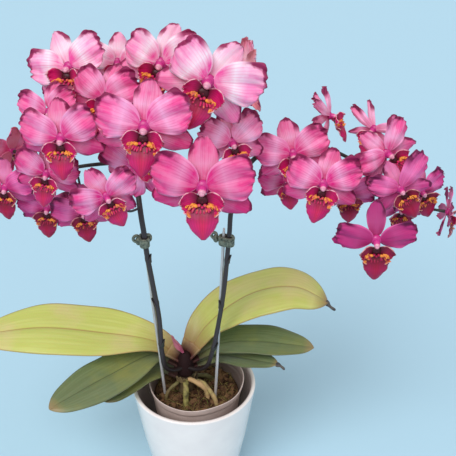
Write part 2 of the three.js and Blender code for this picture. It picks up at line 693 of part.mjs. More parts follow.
let crown = crownSolid();
for (const side of ['left', 'right']) {
  const stem = SPIKES[side].stem.map((point) => vec(...point));
  crown = crown.subtract(tube(stem, STEM.radius + GAP, 6, 20));
}
addNode('crown', fuse([crown]), COLOURS.crown, 0.7);
addNode('young_leaf', youngLeaf(), COLOURS.youngLeaf, 0.5);
for (const [name, leaf] of Object.entries(LEAVES)) addNode(name, leafSolid(leaf), leaf.colour, 0.45);

for (const side of ['left', 'right']) {
  addNode(`spike_${side}`, spikeSolid(side), COLOURS.stem, 0.55);
  addNode(`stake_${side}`, stakeSolid(side, 0), COLOURS.stake, 0.4);
  addNode(`clip_${side}`, clipSolid(side), COLOURS.clip, 0.4);
}

BLOOMS.forEach((bloom, index) => {
  const { flower, lip } = bloomSolids(bloom, index);
  const place = facing(bloom).toArray();
  addNode(`bloom_${bloom.name}`, flower.transform(place), COLOURS[bloom.tone], 0.5);
  if (lip) addNode(`lip_${bloom.name}`, lip.transform(place), COLOURS.lip, 0.5);
});

export default model;
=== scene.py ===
"""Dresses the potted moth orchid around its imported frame.

Blender works in metres. Sizes below are in millimetres, in the frame's own axes: +Z is up, -Y is
the front, and the origin is the centre of the cover pot's underside.
"""

import logging
import math
from dataclasses import dataclass, field, replace
from enum import Enum

import bpy
import numpy as np
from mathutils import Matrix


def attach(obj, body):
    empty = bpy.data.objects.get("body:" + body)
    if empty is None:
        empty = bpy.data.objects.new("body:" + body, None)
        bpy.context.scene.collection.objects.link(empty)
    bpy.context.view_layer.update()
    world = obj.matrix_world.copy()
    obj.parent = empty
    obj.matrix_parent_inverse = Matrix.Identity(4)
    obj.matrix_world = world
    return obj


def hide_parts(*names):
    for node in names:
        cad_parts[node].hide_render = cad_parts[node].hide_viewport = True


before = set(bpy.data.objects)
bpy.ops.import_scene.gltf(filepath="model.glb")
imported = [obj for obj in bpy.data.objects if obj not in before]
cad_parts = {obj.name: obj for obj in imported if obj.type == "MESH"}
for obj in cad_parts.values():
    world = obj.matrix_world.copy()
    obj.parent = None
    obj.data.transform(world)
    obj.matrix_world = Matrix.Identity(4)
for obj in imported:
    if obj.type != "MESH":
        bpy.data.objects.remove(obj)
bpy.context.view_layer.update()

MM = 0.001
IMAGE_PX = 456
BODY = "root"
log = logging.getLogger("orchid")


# Shapes


@dataclass
class Shell:
    """One closed surface.

    A point's form is (along, across, edge, side): its shares of the way along and across the
    piece, its distance from the rim, and 1 on the front or outer face. The tint is one set of
    four values for the whole shell, which each finish reads in its own way.
    """

    points: np.ndarray
    quads: np.ndarray
    form: np.ndarray
    triangles: np.ndarray = field(default_factory=lambda: np.empty((0, 3), int))
    tint: tuple = (0.5, 0.0, 0.0, 1.0)

    def placed(self, turn: np.ndarray, place: np.ndarray) -> "Shell":
        """Returns the shell turned by a 3 x 3 matrix and then moved."""
        return replace(self, points=self.points @ turn.T + place)

    def tinted(self, *tint: float) -> "Shell":
        """Returns the shell with another tint."""
        return replace(self, tint=tint)


def draw(seed: float) -> float:
    """Returns a repeatable number from 0 to 1, the fraction of a large multiple of a sine."""
    return (math.sin(seed * 12.9898) * 43758.5453) % 1.0


def unit(vectors: np.ndarray) -> np.ndarray:
    """Returns the vectors in the last axis, each divided by its length."""
    return vectors / (np.linalg.norm(vectors, axis=-1, keepdims=True) + 1e-12)


def smoothstep(low: float, high: float, value: np.ndarray) -> np.ndarray:
    """Returns 0 below low, 1 above high and a smooth cubic between."""
    share = np.clip((value - low) / (high - low), 0, 1)
    return share * share * (3 - 2 * share)


def spin(axis: str, angle: float) -> np.ndarray:
    """Works out the matrix of a turn.

    Args:
        axis: what it is about, "x" or "z".
        angle: the angle in radians.

    Returns:
        The 3 x 3 matrix.
    """
    c, s = math.cos(angle), math.sin(angle)
    about_x, about_z = [[1, 0, 0], [0, c, -s], [0, s, c]], [[c, -s, 0], [s, c, 0], [0, 0, 1]]
    return np.array(about_x if axis == "x" else about_z)


def lattice(rows: int, columns: int) -> tuple[np.ndarray, np.ndarray]:
    """Returns u, from 0 to 1 down the rows, and v, from -1 to 1 across the columns."""
    return np.linspace(0, 1, rows)[:, None], np.linspace(-1, 1, columns)[None, :]


def curve(knots: list, shares: np.ndarray) -> np.ndarray:
    """Samples the smooth curve through some knots at even arc length.

    It is a Catmull-Rom curve whose knot spacing is the square root of the distance between two
    knots. Each stretch is the cubic through its two ends with the tangents that follow from it.

    Args:
        knots: the points it runs through.
        shares: the places wanted, as shares of the whole length.

    Returns:
        One point for each share.
    """
    line = np.array(knots, float)
    line = np.vstack([2 * line[0] - line[1], line, 2 * line[-1] - line[-2]])
    p0, p1, p2, p3 = line[:-3], line[1:-2], line[2:-1], line[3:]
    d0, d1, d2 = (np.sqrt(np.linalg.norm(b - a, axis=1, keepdims=True))
                  for a, b in ((p0, p1), (p1, p2), (p2, p3)))
    leave = ((p1 - p0) / d0 - (p2 - p0) / (d0 + d1) + (p2 - p1) / d1) * d1
    arrive = ((p2 - p1) / d1 - (p3 - p1) / (d1 + d2) + (p3 - p2) / d2) * d1
    t = np.linspace(0, 1, 60)[None, :, None]
    fine = ((2 * t**3 - 3 * t**2 + 1) * p1[:, None] + (t**3 - 2 * t**2 + t) * leave[:, None]
            + (3 * t**2 - 2 * t**3) * p2[:, None] + (t**3 - t**2) * arrive[:, None])
    fine = fine.reshape(-1, 3)
    length = np.concatenate([[0], np.cumsum(np.linalg.norm(np.diff(fine, axis=0), axis=1))])
    wanted = np.asarray(shares) * length[-1]
    return np.column_stack([np.interp(wanted, length, fine[:, k]) for k in range(3)])


def weave(index: np.ndarray) -> np.ndarray:
    """Returns the quads between neighbours in a grid of point numbers."""
    corners = (index[:-1, :-1], index[:-1, 1:], index[1:, 1:], index[1:, :-1])
    return np.stack(corners, -1).reshape(-1, 4)


def grid_form(rows: int, columns: int, edge: np.ndarray | float, side: float) -> np.ndarray:
    """Returns the form of a grid's points: even shares, with the edge and side given."""
    along, across = np.meshgrid(np.linspace(0, 1, rows), np.linspace(0, 1, columns), indexing="ij")
    return np.stack(np.broadcast_arrays(along, across, edge, side), -1).reshape(-1, 4)


def sheet(middle: np.ndarray, thickness: np.ndarray | float, edge: np.ndarray | float) -> Shell:
    """Thickens a grid of points to both sides and closes its rim.

    A face's point is the middle one plus or minus half the thickness along the normal, which is
    the cross product of the grid's two gradients.

    Args:
        middle: rows x columns x 3 points.
        thickness: the thickness at each of them, or one for all.
        edge: their distances from the rim, for the form.

    Returns:
        The closed shell, its front on the side of the normal.
    """
    rows, columns = middle.shape[:2]
    normal = unit(np.cross(np.gradient(middle, axis=0), np.gradient(middle, axis=1)))
    offset = normal * np.broadcast_to(thickness, (rows, columns))[..., None] / 2
    layer = rows * columns
    index = np.arange(layer).reshape(rows, columns)
    front = weave(index)[:, [0, 3, 2, 1]]
    rim = np.concatenate([index[0, :-1], index[:-1, -1], index[-1, :0:-1], index[:0:-1, 0]])
    ahead = np.roll(rim, -1)
    walls = np.stack([rim, ahead, ahead + layer, rim + layer], -1)
    return Shell(
        np.concatenate([(middle + offset).reshape(-1, 3), (middle - offset).reshape(-1, 3)]),
        np.concatenate([front, layer + front[:, ::-1], walls]),
        np.concatenate([grid_form(rows, columns, edge, side) for side in (1.0, 0.0)]),
    )


def rings(loops: np.ndarray, first: np.ndarray, last: np.ndarray) -> Shell:
    """Joins closed loops of points in order and shuts each end with a point.

    Args:
        loops: rings x sides x 3 points, anticlockwise as seen from ahead.
        first: the point that shuts the first ring.
        last: the point that shuts the last ring.

    Returns:
        The closed shell, facing outwards.
    """
    count, sides = loops.shape[:2]
    index = np.arange(count * sides).reshape(count, sides)
    turned = np.roll(index, -1, axis=1)
    pole = np.full(sides, count * sides)
    ends = [np.stack([pole, turned[0], index[0]], -1),
            np.stack([pole + 1, index[-1], turned[-1]], -1)]
    return Shell(
        np.vstack([loops.reshape(-1, 3), first, last]),
        weave(np.pad(index, ((0, 0), (0, 1)), "wrap")),
        np.vstack([grid_form(count, sides, 1.0, 1.0), [[0, 0.5, 1, 1], [1, 0.5, 1, 1]]]),
        np.vstack(ends),
    )


def hoop(loops: np.ndarray) -> Shell:
    """Joins closed loops of points in a circle, the last one to the first."""
    index = np.arange(loops.size // 3).reshape(loops.shape[:2])
    return Shell(loops.reshape(-1, 3), weave(np.pad(index, (0, 1), "wrap")),
                 np.ones((index.size, 4)))


def circles(path: np.ndarray, ahead: np.ndarray, radii: np.ndarray | float, sides: int
            ) -> np.ndarray:
    """Puts a circle round each point of a path, square to it.

    Their first points lie on the cross product of the path and the axis that it keeps clearest of.

    Args:
        path: the points of the centre line.
        ahead: the path's direction at each of them.
        radii: the radius at each of them, or one for all.
        sides: points round the circle.

    Returns:
        The rings x sides x 3 points.
    """
    reference = np.eye(3)[np.argmin(np.abs(ahead).max(axis=0))]
    side = unit(np.cross(reference, ahead))
    up = np.cross(ahead, side)
    angle = np.linspace(0, 2 * np.pi, sides, endpoint=False)[None, :, None]
    reach = side[:, None] * np.cos(angle) + up[:, None] * np.sin(angle)
    return path[:, None] + reach * np.broadcast_to(radii, len(path))[:, None, None]


def tube(path: np.ndarray, radii: np.ndarray | float, sides: int) -> Shell:
    """Carries a circle along a path.

    Args:
        path: the points of the centre line.
        radii: the radius at each of them, or one for all.
        sides: points round the circle.

    Returns:
        The closed tube, with a blunt point half a radius beyond each end.
    """
    ahead = unit(np.gradient(path, axis=0))
    tips = ahead * np.broadcast_to(radii, len(path))[:, None] / 2
    return rings(circles(path, ahead, radii, sides), path[0] - tips[0], path[-1] + tips[-1])


def lathe(profile: np.ndarray, sides: int, centre: tuple[float, float] = (0.0, 0.0)) -> Shell:
    """Turns a profile round an upright axis.

    Args:
        profile: (radius, height) points from axis to axis, up the outside and down the inside.
        sides: points round the circle.
        centre: the axis's place.

    Returns:
        The closed solid of revolution.
    """
    angle = np.linspace(0, 2 * np.pi, sides, endpoint=False)
    radius, height = profile[1:-1].T[..., None]
    loops = np.stack(np.broadcast_arrays(
        centre[0] + radius * np.cos(angle), centre[1] + radius * np.sin(angle), height), -1)
    return rings(loops, *((*centre, profile[k, 1]) for k in (0, -1)))


def rounded(profile: list, radius: float, steps: int) -> np.ndarray:
    """Rounds the inner corners of a profile.

    Each corner becomes the quadratic curve from radius before it to radius after it, or from
    and to the middle of a shorter side.

    Args:
        profile: (radius, height) points.
        radius: how far from a corner its curve starts.
        steps: points in each curve.

    Returns:
        The rounded profile.
    """
    line = np.array(profile, float)
    corner = line[1:-1, None]
    start, end = (
        corner + (unit(way) * np.minimum(radius, np.linalg.norm(way, axis=1, keepdims=True) / 2.02)
                  )[:, None]
        for way in (line[:-2] - line[1:-1], line[2:] - line[1:-1]))
    t = np.linspace(0, 1, steps)[None, :, None]
    arcs = (1 - t)**2 * start + 2 * t * (1 - t) * corner + t**2 * end
    return np.vstack([line[:1], arcs.reshape(-1, 2), line[-1:]])


def ball(centre: tuple, radii: tuple[float, float, float], sides: int, rows: int) -> Shell:
    """Makes an ellipsoid: its rings' radius is an angle's sine and their height its cosine.

    Args:
        centre: its middle.
        radii: its half widths along x, y and z.
        sides: points round.
        rows: rings between its two ends.

    Returns:
        The closed shell.
    """
    angle = np.linspace(np.pi, 0, rows + 2)
    shell = lathe(np.column_stack([np.sin(angle), np.cos(angle)]), sides)
    return replace(shell, points=shell.points * np.array(radii) + np.array(centre))


def make_piece(name: str, shells: list[Shell], material: bpy.types.Material, slot: str,
               *nodes: str, smooth: bool = True) -> None:
    """Makes one object of some shells, in metres, and fits it into the frame.

    Args:
        name: the object's name.
        shells: the closed surfaces, in millimetres.
        material: its finish.
        slot: the record's slot for that finish; not used.
        nodes: the CAD nodes that it stands for.
        smooth: whether its faces are shaded smooth.
    """
    starts = np.cumsum([0] + [len(shell.points) for shell in shells])
    quads = np.concatenate([s.quads + k for s, k in zip(shells, starts)])
    triangles = np.concatenate([s.triangles + k for s, k in zip(shells, starts)])
    points = np.concatenate([shell.points for shell in shells]) * MM
    tints = np.concatenate([np.tile(s.tint, (len(s.points), 1)) for s in shells])
    mesh = bpy.data.meshes.new(name)
    mesh.vertices.add(len(points))
    mesh.vertices.foreach_set("co", points.ravel())
    mesh.loops.add(quads.size + triangles.size)
    mesh.loops.foreach_set("vertex_index", np.concatenate([quads.ravel(), triangles.ravel()]))
    mesh.polygons.add(len(quads) + len(triangles))
    loop_starts = [np.arange(len(quads)) * 4, quads.size + np.arange(len(triangles)) * 3]
    mesh.polygons.foreach_set("loop_start", np.concatenate(loop_starts))
    mesh.polygons.foreach_set("use_smooth", np.full(len(mesh.polygons), smooth))
    for label, values in (("form", np.concatenate([s.form for s in shells])), ("tint", tints)):
        attribute = mesh.attributes.new(label, "FLOAT_COLOR", "POINT")
        attribute.data.foreach_set("color", values.astype(np.float32).ravel())
    mesh.update(calc_edges=True)
    mesh.validate()
    mesh.materials.append(material)
    piece = bpy.data.objects.new(name, mesh)
    bpy.context.scene.collection.objects.link(piece)
    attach(piece, BODY)
    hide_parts(*nodes)
    log.info("%s: %d faces", name, len(mesh.polygons))


# Finishes


def linear(colour: str) -> tuple[float, float, float, float]:
    """Turns an sRGB colour linear, by the standard's line below 0.04045 and power above.

    Args:
        colour: the six hex digits.

    Returns:
        Linear red, green and blue, with full opacity.
    """
    channels = np.array([int(colour[k:k + 2], 16) for k in (0, 2, 4)]) / 255
    low, high = channels / 12.92, ((channels + 0.055) / 1.055)**2.4
    return (*np.where(channels <= 0.04045, low, high).tolist(), 1.0)


class Recipe:
    """A material in the making: its nodes, their outputs by name, and its colour so far."""

    def __init__(self, name: str, tint: str = "") -> None:
        """Starts the material with the form, the tint and the object coordinates as outputs.

        Args:
            name: the material's name.
            tint: one word for each value of the tint that this finish reads.
        """
        self.material = bpy.data.materials.new(name)
        self.material.use_nodes = True
        self.tree = self.material.node_tree
        self.outputs = {}
        for label, words in (("form", "along across edge side"), ("tint", tint)):
            if words:
                read = self.add(label, "Attribute", {"attribute_name": label})
                self.outputs[label] = read.outputs["Color"]
                split = self.add("channels", "SeparateColor", {"Color": label})
                values = (*split.outputs, read.outputs["Alpha"])
                self.outputs.update(zip(words.split(), values))
        self.outputs["place"] = self.add("coordinates", "TexCoord", {}).outputs["Object"]

    def add(self, name: str, kind: str, values: dict) -> bpy.types.ShaderNode:
        """Adds a node with its settings and links.

        Args:
            name: the name for its factor output or, where it has none, its first one.
            kind: its type, without the prefix that they all have.
            values: what "set" takes.

        Returns:
            The node.
        """
        node = self.tree.nodes.new(f"ShaderNode{kind}")
        self.set(node, values)
        self.outputs[name] = node.outputs.get("Fac") or node.outputs[0]
        return node

    def set(self, node: bpy.types.ShaderNode, values: dict) -> None:
        """Sets a node's properties, inputs and links.

        Args:
            node: the node.
            values: a value for each property or input. For an input it may be an output's name
                or a hex colour, and "stops" are a ramp's places and hex colours.
        """
        for key, value in values.items():
            if key == "stops":
                stops = node.color_ramp.elements
                for _ in value[2:]:
                    stops.new(0.5)
                for stop, (place, colour) in zip(stops, value):
                    stop.position, stop.color = place, linear(colour)
            elif isinstance(key, str) and hasattr(node, key):
                setattr(node, key, value)
            elif value in self.outputs:
                self.tree.links.new(self.outputs[value], node.inputs[key])
            else:
                plain = linear(value) if isinstance(value, str) else value
                node.inputs[key].default_value = plain

    def weigh(self, name: str, **weights: float) -> None:
        """Adds the sum of some outputs, each times its weight.

        Args:
            name: the name for the sum.
            weights: the weight of each output.
        """
        total = 0.0
        for term, weight in weights.items():
            self.add(name, "Math", {"operation": "MULTIPLY_ADD", 0: term, 1: weight, 2: total})
            total = name

    def coat(self, colour: str, value: str, spread: tuple = (), shares: tuple = (0.0, 1.0),
             base: str = "colour") -> None:
        """Lays a colour over the colour so far.

        Args:
            colour: the hex colour.
            value: the output that says how much of it there is.
            spread: the two values between which that changes evenly, if it isn't itself the share.
            shares: the shares of the colour at those two.
            base: what it lies on, if not the colour so far.
        """
        if spread:
            self.add("share", "MapRange", {
                "Value": value, "From Min": spread[0], "From Max": spread[1],
                "To Min": shares[0], "To Max": shares[1]})
            value = "share"
        self.add("colour", "MixRGB", {"Fac": value, "Color1": base, "Color2": colour})

    def done(self, height: str, strength: float, distance: float, values: dict
             ) -> bpy.types.Material:
        """Adds the bump and sets the one surface shader.

        Args:
            height: the output that gives the relief.
            strength: how strong it looks, from 0 to 1.
            distance: its height in metres.
            values: the shader's other inputs.

        Returns:
            The material.
        """
        self.add("bump", "Bump", {"Strength": strength, "Distance": distance, "Height": height})
        self.set(self.tree.nodes["Principled BSDF"],
                 {"Base Color": "colour", "Normal": "bump", **values})
        return self.material


class Tone(Enum):
    """The three shades of bloom on this plant; the pale one is painted light on the top blooms,
    lit from above.
    """

    PALE = "pale"
    ROSE = "rose"
    PURPLE = "purple"


PALE, ROSE, PURPLE = Tone


@dataclass(frozen=True)
class PetalFinish:
    """Living tepal tissue: thin, velvety and veined, with a dark waved margin."""

    face: str
    pale_and_highlight: str
    throat: str
    vein: str
    margin: str
    back: str

    def build(self, name: str) -> bpy.types.Material:
        """Makes the material.

        The colour runs from the throat over a paler zone to the face colour, by the share along
        the tepal. Veins are bands across it, so they fan out as it widens. The margin is dark
        where the distance from the rim, changed by noise, is small, only on the outer half and
        most on its upper side. The tint is a chance number, how washed out it is, how deep its
        colour is, and 1 on petals.

        Args:
            name: the material's name.

        Returns:
            The material.
        """
        r = Recipe(name, "chance pallor depth petal")
        r.add("cloud", "TexNoise", {"Scale": 110.0, "Detail": 3.0, "Vector": "place"})
        r.add("grain", "TexNoise", {"Scale": 900.0, "Detail": 2.0, "Vector": "place"})
        r.add("colour", "ValToRGB", {"Fac": "along", "stops": [
            (0.0, self.throat), (0.16, self.throat), (0.4, self.pale_and_highlight), (0.66, self.face),
            (1.0, self.face)]})
        r.coat(self.pale_and_highlight, "cloud", (0.45, 0.7), (0.0, 0.5))
        r.add("lattice", "CombineXYZ", {"X": "across", "Y": "along", "Z": "chance"})
        r.add("fan", "VectorMath", {
            "operation": "MULTIPLY", 0: "lattice", 1: (15.0, 1.5, 37.0)})
        r.add("streak", "TexNoise", {
            "Scale": 0.55, "Detail": 4.0, "Roughness": 0.6, "Vector": "fan"})
        r.coat(self.pale_and_highlight, "streak", (0.52, 0.3), (0.0, 0.62))
        r.add("veins", "TexWave", {"Scale": 0.3, "Distortion": 5.5, "Detail": 4.0,
                                   "Detail Scale": 1.4, "Vector": "fan"})
        r.add("both veins", "Math", {"operation": "MULTIPLY", 0: "veins", 1: "streak"})
        r.coat(self.vein, "both veins", (0.3, 0.62), (0.0, 0.42))
        # Pallor whitens the tissue; on the dorsal sepal it is a painted highlight.
        r.coat("fbe3ee", "pallor")
        r.coat(self.vein, "depth")
        r.coat(self.vein, "along", (0.6, 1.1), (0.0, 0.55))
        # A paler band along the rim: a painted highlight.
        r.coat(self.pale_and_highlight, "edge", (0.02, 0.16), (0.5, 0.0))
        r.add("high", "MapRange", {"Value": "across", "From Min": 0.25, "From Max": 0.8,
                                   "To Min": 0.16, "To Max": -0.26})
        r.weigh("reach", cloud=1.3, edge=1.0, streak=-0.35, chance=0.12, high=1.0)
        r.add("rim", "MapRange", {"Value": "reach", "From Min": 0.62, "From Max": 0.86,
                                  "To Min": 0.95, "To Max": 0.0})
        r.add("outer", "MapRange", {"Value": "along", "From Min": 0.5, "From Max": 0.72})
        r.add("dark", "Math", {"operation": "MULTIPLY", 0: "rim", 1: "outer"})
        r.coat(self.margin, "dark")
        r.outputs["front"] = r.outputs["colour"]
        r.coat(self.back, "petal", (0.0, 1.0), (0.75, 0.35))
        r.add("colour", "MixRGB", {"Fac": "side", "Color1": "colour", "Color2": "front"})
        r.weigh("relief", veins=0.5, grain=1.0)
        return r.done("relief", 0.2, 0.0003, {
            "Roughness": 0.55, "Specular IOR Level": 0.25, "Sheen Weight": 0.06,
            "Sheen Roughness": 0.4, "Subsurface Weight": 0.15, "Subsurface Scale": 0.002,
            "Subsurface Radius": (1.0, 0.35, 0.5)})


PETALS = {
    # Pale: painted light on the top blooms, which the light from above falls on.
    PALE: PetalFinish("ff98ca", "ffe8f4", "f23c9c", "ec4c96", "901650", "faa2a4"),
    ROSE: PetalFinish("fa4c9e", "ffacd8", "ea0c88", "c81468", "7a0844", "e6687e"),
    PURPLE: PetalFinish("e0308c", "f472b4", "d01078", "a81868", "600a3e", "c64e80"),
}


@dataclass(frozen=True)
class LipFinish:
    """Lip tissue: waxy crimson lobes with pale toothed margins and orange, spotted bases."""

    lobe: str = "cc0a62"
    tongue: str = "cc246e"
    keel: str = "d42850"
    amber: str = "f4993c"
    margin: str = "f6c0ca"
    spot: str = "7c0c24"
    hollow_shade: str = "30040c"

    def build(self, name: str) -> bpy.types.Material:
        """Makes the material.

        Amber comes with the tint's third value and noise, and on the side lobes also towards
        their lower rims; dark spots from cell noise break it. The rim is pale where the distance
        from it, changed by noise, is small. The tint is a chance number, 0 on the side lobes
        and 1 on all else, and how amber it is.

        Args:
            name: the material's name.

        Returns:
            The material.
        """
        r = Recipe(name, "chance part warmth")
        r.add("noise", "TexNoise", {"Scale": 320.0, "Detail": 3.0, "Vector": "place"})
        r.add("cells", "TexVoronoi", {"Scale": 520.0, "Vector": "place"})
        r.coat(self.tongue, "part", base=self.lobe)
        r.add("off", "Math", {"operation": "SUBTRACT", 0: "across", 1: 0.5})
        r.add("away", "Math", {"operation": "ABSOLUTE", 0: "off"})
        r.add("heart", "MapRange", {
            "Value": "away", "From Max": 0.3, "To Min": 0.7, "To Max": 0.0})
        r.add("keeled", "Math", {"operation": "MULTIPLY", 0: "heart", 1: "part"})
        r.coat(self.keel, "keeled")
        r.add("stripes", "CombineXYZ", {"X": "across", "Y": "chance"})
        r.add("bands", "TexWave", {
            "Scale": 3.4, "Distortion": 3.0, "Detail": 2.0, "Vector": "stripes"})
        r.coat(self.spot, "bands", (0.5, 1.0), (0.0, 0.22))
        # Darker towards each part's base and in the throat: painted shade in the lip's hollow.
        r.coat(self.hollow_shade, "along", (0.05, 0.55), (0.95, 0.0))
        r.add("low", "MapRange", {
            "Value": "across", "From Max": 0.42, "To Min": 0.42, "To Max": 0.0})
        r.add("sides", "Math", {"operation": "SUBTRACT", "use_clamp": True, 0: 1.0, 1: "part"})
        r.add("fringe", "Math", {
            "operation": "MULTIPLY_ADD", 0: "low", 1: "sides", 2: "warmth"})
        r.weigh("mottled", noise=0.9, fringe=1.0)
        r.add("amber", "MapRange", {"Value": "mottled", "From Min": 0.88, "From Max": 1.12})
        r.coat(self.amber, "amber")
        r.add("dots", "MapRange", {"Value": "cells", "From Min": 0.18, "From Max": 0.32,
                                   "To Min": 0.9, "To Max": 0.0})
        r.add("sparse", "Math", {"operation": "MULTIPLY", 0: "dots", 1: "amber"})
        r.coat(self.spot, "sparse")
        r.weigh("waved", noise=0.5, edge=1.0)
        r.coat(self.margin, "waved", (0.22, 0.36), (0.9, 0.0))
        return r.done("noise", 0.35, 0.0004, {
            "Roughness": 0.42, "Specular IOR Level": 0.3, "Subsurface Weight": 0.15,
            "Subsurface Radius": (1.0, 0.2, 0.3), "Subsurface Scale": 0.0015})


@dataclass(frozen=True)
class ColumnFinish:
    """The column: smooth waxy tissue, magenta at its foot and whitish at its cap."""

    foot: str = "c42a80"
    body: str = "d23c8e"
    cap: str = "e69ab2"

    def build(self, name: str) -> bpy.types.Material:
        """Makes the material: a ramp along the column, with the tint's second value the cap.

        Args:
            name: the material's name.

        Returns:
            The material.
        """
        r = Recipe(name, "chance cap")
        r.add("cloud", "TexNoise", {"Scale": 400.0, "Detail": 2.0, "Vector": "place"})
        r.weigh("length", cloud=0.3, along=1.0)
        r.add("colour", "ValToRGB", {"Fac": "length", "stops": [
            (0.3, self.foot), (0.9, self.body), (1.0, self.cap)]})
        r.coat(self.cap, "cap")
        return r.done("cloud", 0.15, 0.0003, {
            "Roughness": 0.35, "Subsurface Weight": 0.2, "Subsurface Scale": 0.002,
            "Subsurface Radius": (1.0, 0.4, 0.5)})


@dataclass(frozen=True)
class LeafFinish:
    """A leathery evergreen blade with a waxy skin, a sunk midrib and faint long veins."""

    face: str
    light: str
    patch: str
    midrib: str
    rim: str
    base: str
    tip: str
    roughness: float

    def build(self, name: str) -> bpy.types.Material:
        """Makes the material.

        Two noises, one drawn out along the blade, mix the face, light and patch colours. The
        midrib is where the share across is near a half, the veins are bands across, and the
        base, rim and tip have their own colours.

        Args:
            name: the material's name.

        Returns:
            The material.
        """
        r = Recipe(name, "chance")
        r.add("cloud", "TexNoise", {"Scale": 22.0, "Detail": 4.0, "Vector": "place"})
        r.add("grain", "TexNoise", {"Scale": 600.0, "Detail": 2.0, "Vector": "place"})
        r.add("lattice", "CombineXYZ", {"X": "across", "Y": "along", "Z": "chance"})
        r.add("drawn", "VectorMath", {
            "operation": "MULTIPLY", 0: "lattice", 1: (11.0, 2.2, 1.0)})
        r.add("fibre", "TexNoise", {"Scale": 1.6, "Detail": 4.0, "Vector": "drawn"})
        r.coat(self.light, "fibre", (0.4, 0.7), (0.0, 0.4), base=self.face)
        r.coat(self.patch, "cloud", (0.48, 0.7), (0.0, 0.8))
        r.add("veins", "TexWave", {
            "Scale": 0.42, "Distortion": 0.6, "Detail": 1.0, "Vector": "drawn"})
        r.coat(self.midrib, "veins", (0.5, 1.0), (0.0, 0.07))
        r.add("off", "Math", {"operation": "SUBTRACT", 0: "across", 1: 0.5})
        r.add("away", "Math", {"operation": "ABSOLUTE", 0: "off"})
        r.coat(self.midrib, "away", (0.006, 0.024), (0.8, 0.0))
        r.coat(self.rim, "edge", (0.0, 0.16), (0.7, 0.0))
        r.coat(self.base, "along", (0.0, 0.2), (0.85, 0.0))
        r.weigh("broken", cloud=0.12, along=1.0)
        r.coat(self.tip, "broken", (0.98, 1.05))
        r.weigh("relief", veins=0.4, grain=1.0)
        return r.done("relief", 0.25, 0.0005, {
            "Roughness": self.roughness, "Specular IOR Level": 0.4, "Coat Weight": 0.08,
            "Coat Roughness": 0.35, "Subsurface Weight": 0.08, "Subsurface Scale": 0.002})


@dataclass(frozen=True)
class GrownFinish:
    """Plain plant skin, such as stem, root, sheath or bark: mottled and slightly rough."""

    dark: str
    light: str
    accent: str
    scale: float
    stretch: tuple[float, float, float] = (1.0, 1.0, 1.0)
    roughness: float = 0.5
    relief: float = 0.0005
    specular: float = 0.4
    # The foot's colour: by default painted shade, as at the flower stems' foot.
    base: str = "1e1010"
    foot: float = 0.2

    def build(self, name: str) -> bpy.types.Material:
        """Makes the material.

        One noise in a stretched space mixes the dark and light colours, and a coarser one with the
        tint's first value adds patches of the accent. The second value darkens the piece; on the
        crown's heart and the roots at the back this is painted shade. Where the third is 1 the
        share "foot" of its length has the base colour: painted shade at a flower stem's foot, and
        on the upper sheaths their red foot deepened by painted shade.

        Args:
            name: the material's name.

        Returns:
            The material.
        """
        r = Recipe(name, "chance shade rooted")
        r.add("space", "Mapping", {"Scale": self.stretch, "Vector": "place"})
        r.add("fine", "TexNoise", {"Scale": self.scale, "Detail": 5.0, "Vector": "space"})
        r.add("coarse", "TexNoise", {
            "Scale": self.scale * 0.22, "Detail": 3.0, "Vector": "space"})
        r.add("colour", "ValToRGB", {
            "Fac": "fine", "stops": [(0.3, self.dark), (0.6, self.light)]})
        r.weigh("varied", chance=0.35, coarse=1.0)
        r.coat(self.accent, "varied", (0.62, 0.85), (0.0, 0.85))
        r.coat(self.dark, "shade")
        # Painted shade at the foot, where it enters the dark crown.
        r.add("low", "MapRange", {"Value": "along", "From Min": 0.3 * self.foot,
                                  "From Max": self.foot, "To Min": 0.95, "To Max": 0.0})
        r.add("sunk", "Math", {"operation": "MULTIPLY", 0: "low", 1: "rooted"})
        r.coat(self.base, "sunk")
        return r.done("fine", 0.5, self.relief, {
            "Roughness": self.roughness, "Specular IOR Level": self.specular})


@dataclass(frozen=True)
class MadeFinish:
    """A made surface, such as glaze, moulded plastic or coated wire: even, with faint waves."""

    colour: str
    shade: str
    scale: float
    roughness: float
    relief: float = 0.0001
    metallic: float = 0.0
    coat: float = 0.0
    clear: float = 0.0
    specular: float = 0.5
    inner_shade_and_stain: float = 0.0

    def build(self, name: str) -> bpy.types.Material:
        """Makes the material: a noise mixes colour and shade and changes the roughness.

        A brown laid over the last third of the way along, a vessel's inner side, is painted shade
        in the glazed pot.

        Args:
            name: the material's name.

        Returns:
            The material.
        """
        r = Recipe(name)
        r.add("cloud", "TexNoise", {"Scale": self.scale, "Detail": 3.0, "Vector": "place"})
        r.add("skin", "TexNoise", {"Scale": self.scale * 9, "Detail": 2.0, "Vector": "place"})
        r.add("colour", "ValToRGB", {
            "Fac": "cloud", "stops": [(0.3, self.shade), (0.62, self.colour)]})
        # Brown on a vessel's inner side: painted shade in the glazed pot.
        r.coat("54403a", "along", (0.62, 0.7), (0.0, self.inner_shade_and_stain))
        r.add("rough", "MapRange", {"Value": "cloud", "To Min": self.roughness * 0.8,
                                    "To Max": self.roughness * 1.25})
        return r.done("skin", 0.3, self.relief, {
            "Roughness": "rough", "Metallic": self.metallic, "Coat Weight": self.coat,
            "Coat Roughness": 0.06, "Transmission Weight": self.clear,
            "Specular IOR Level": self.specular})


# Pot, grow pot and growing medium


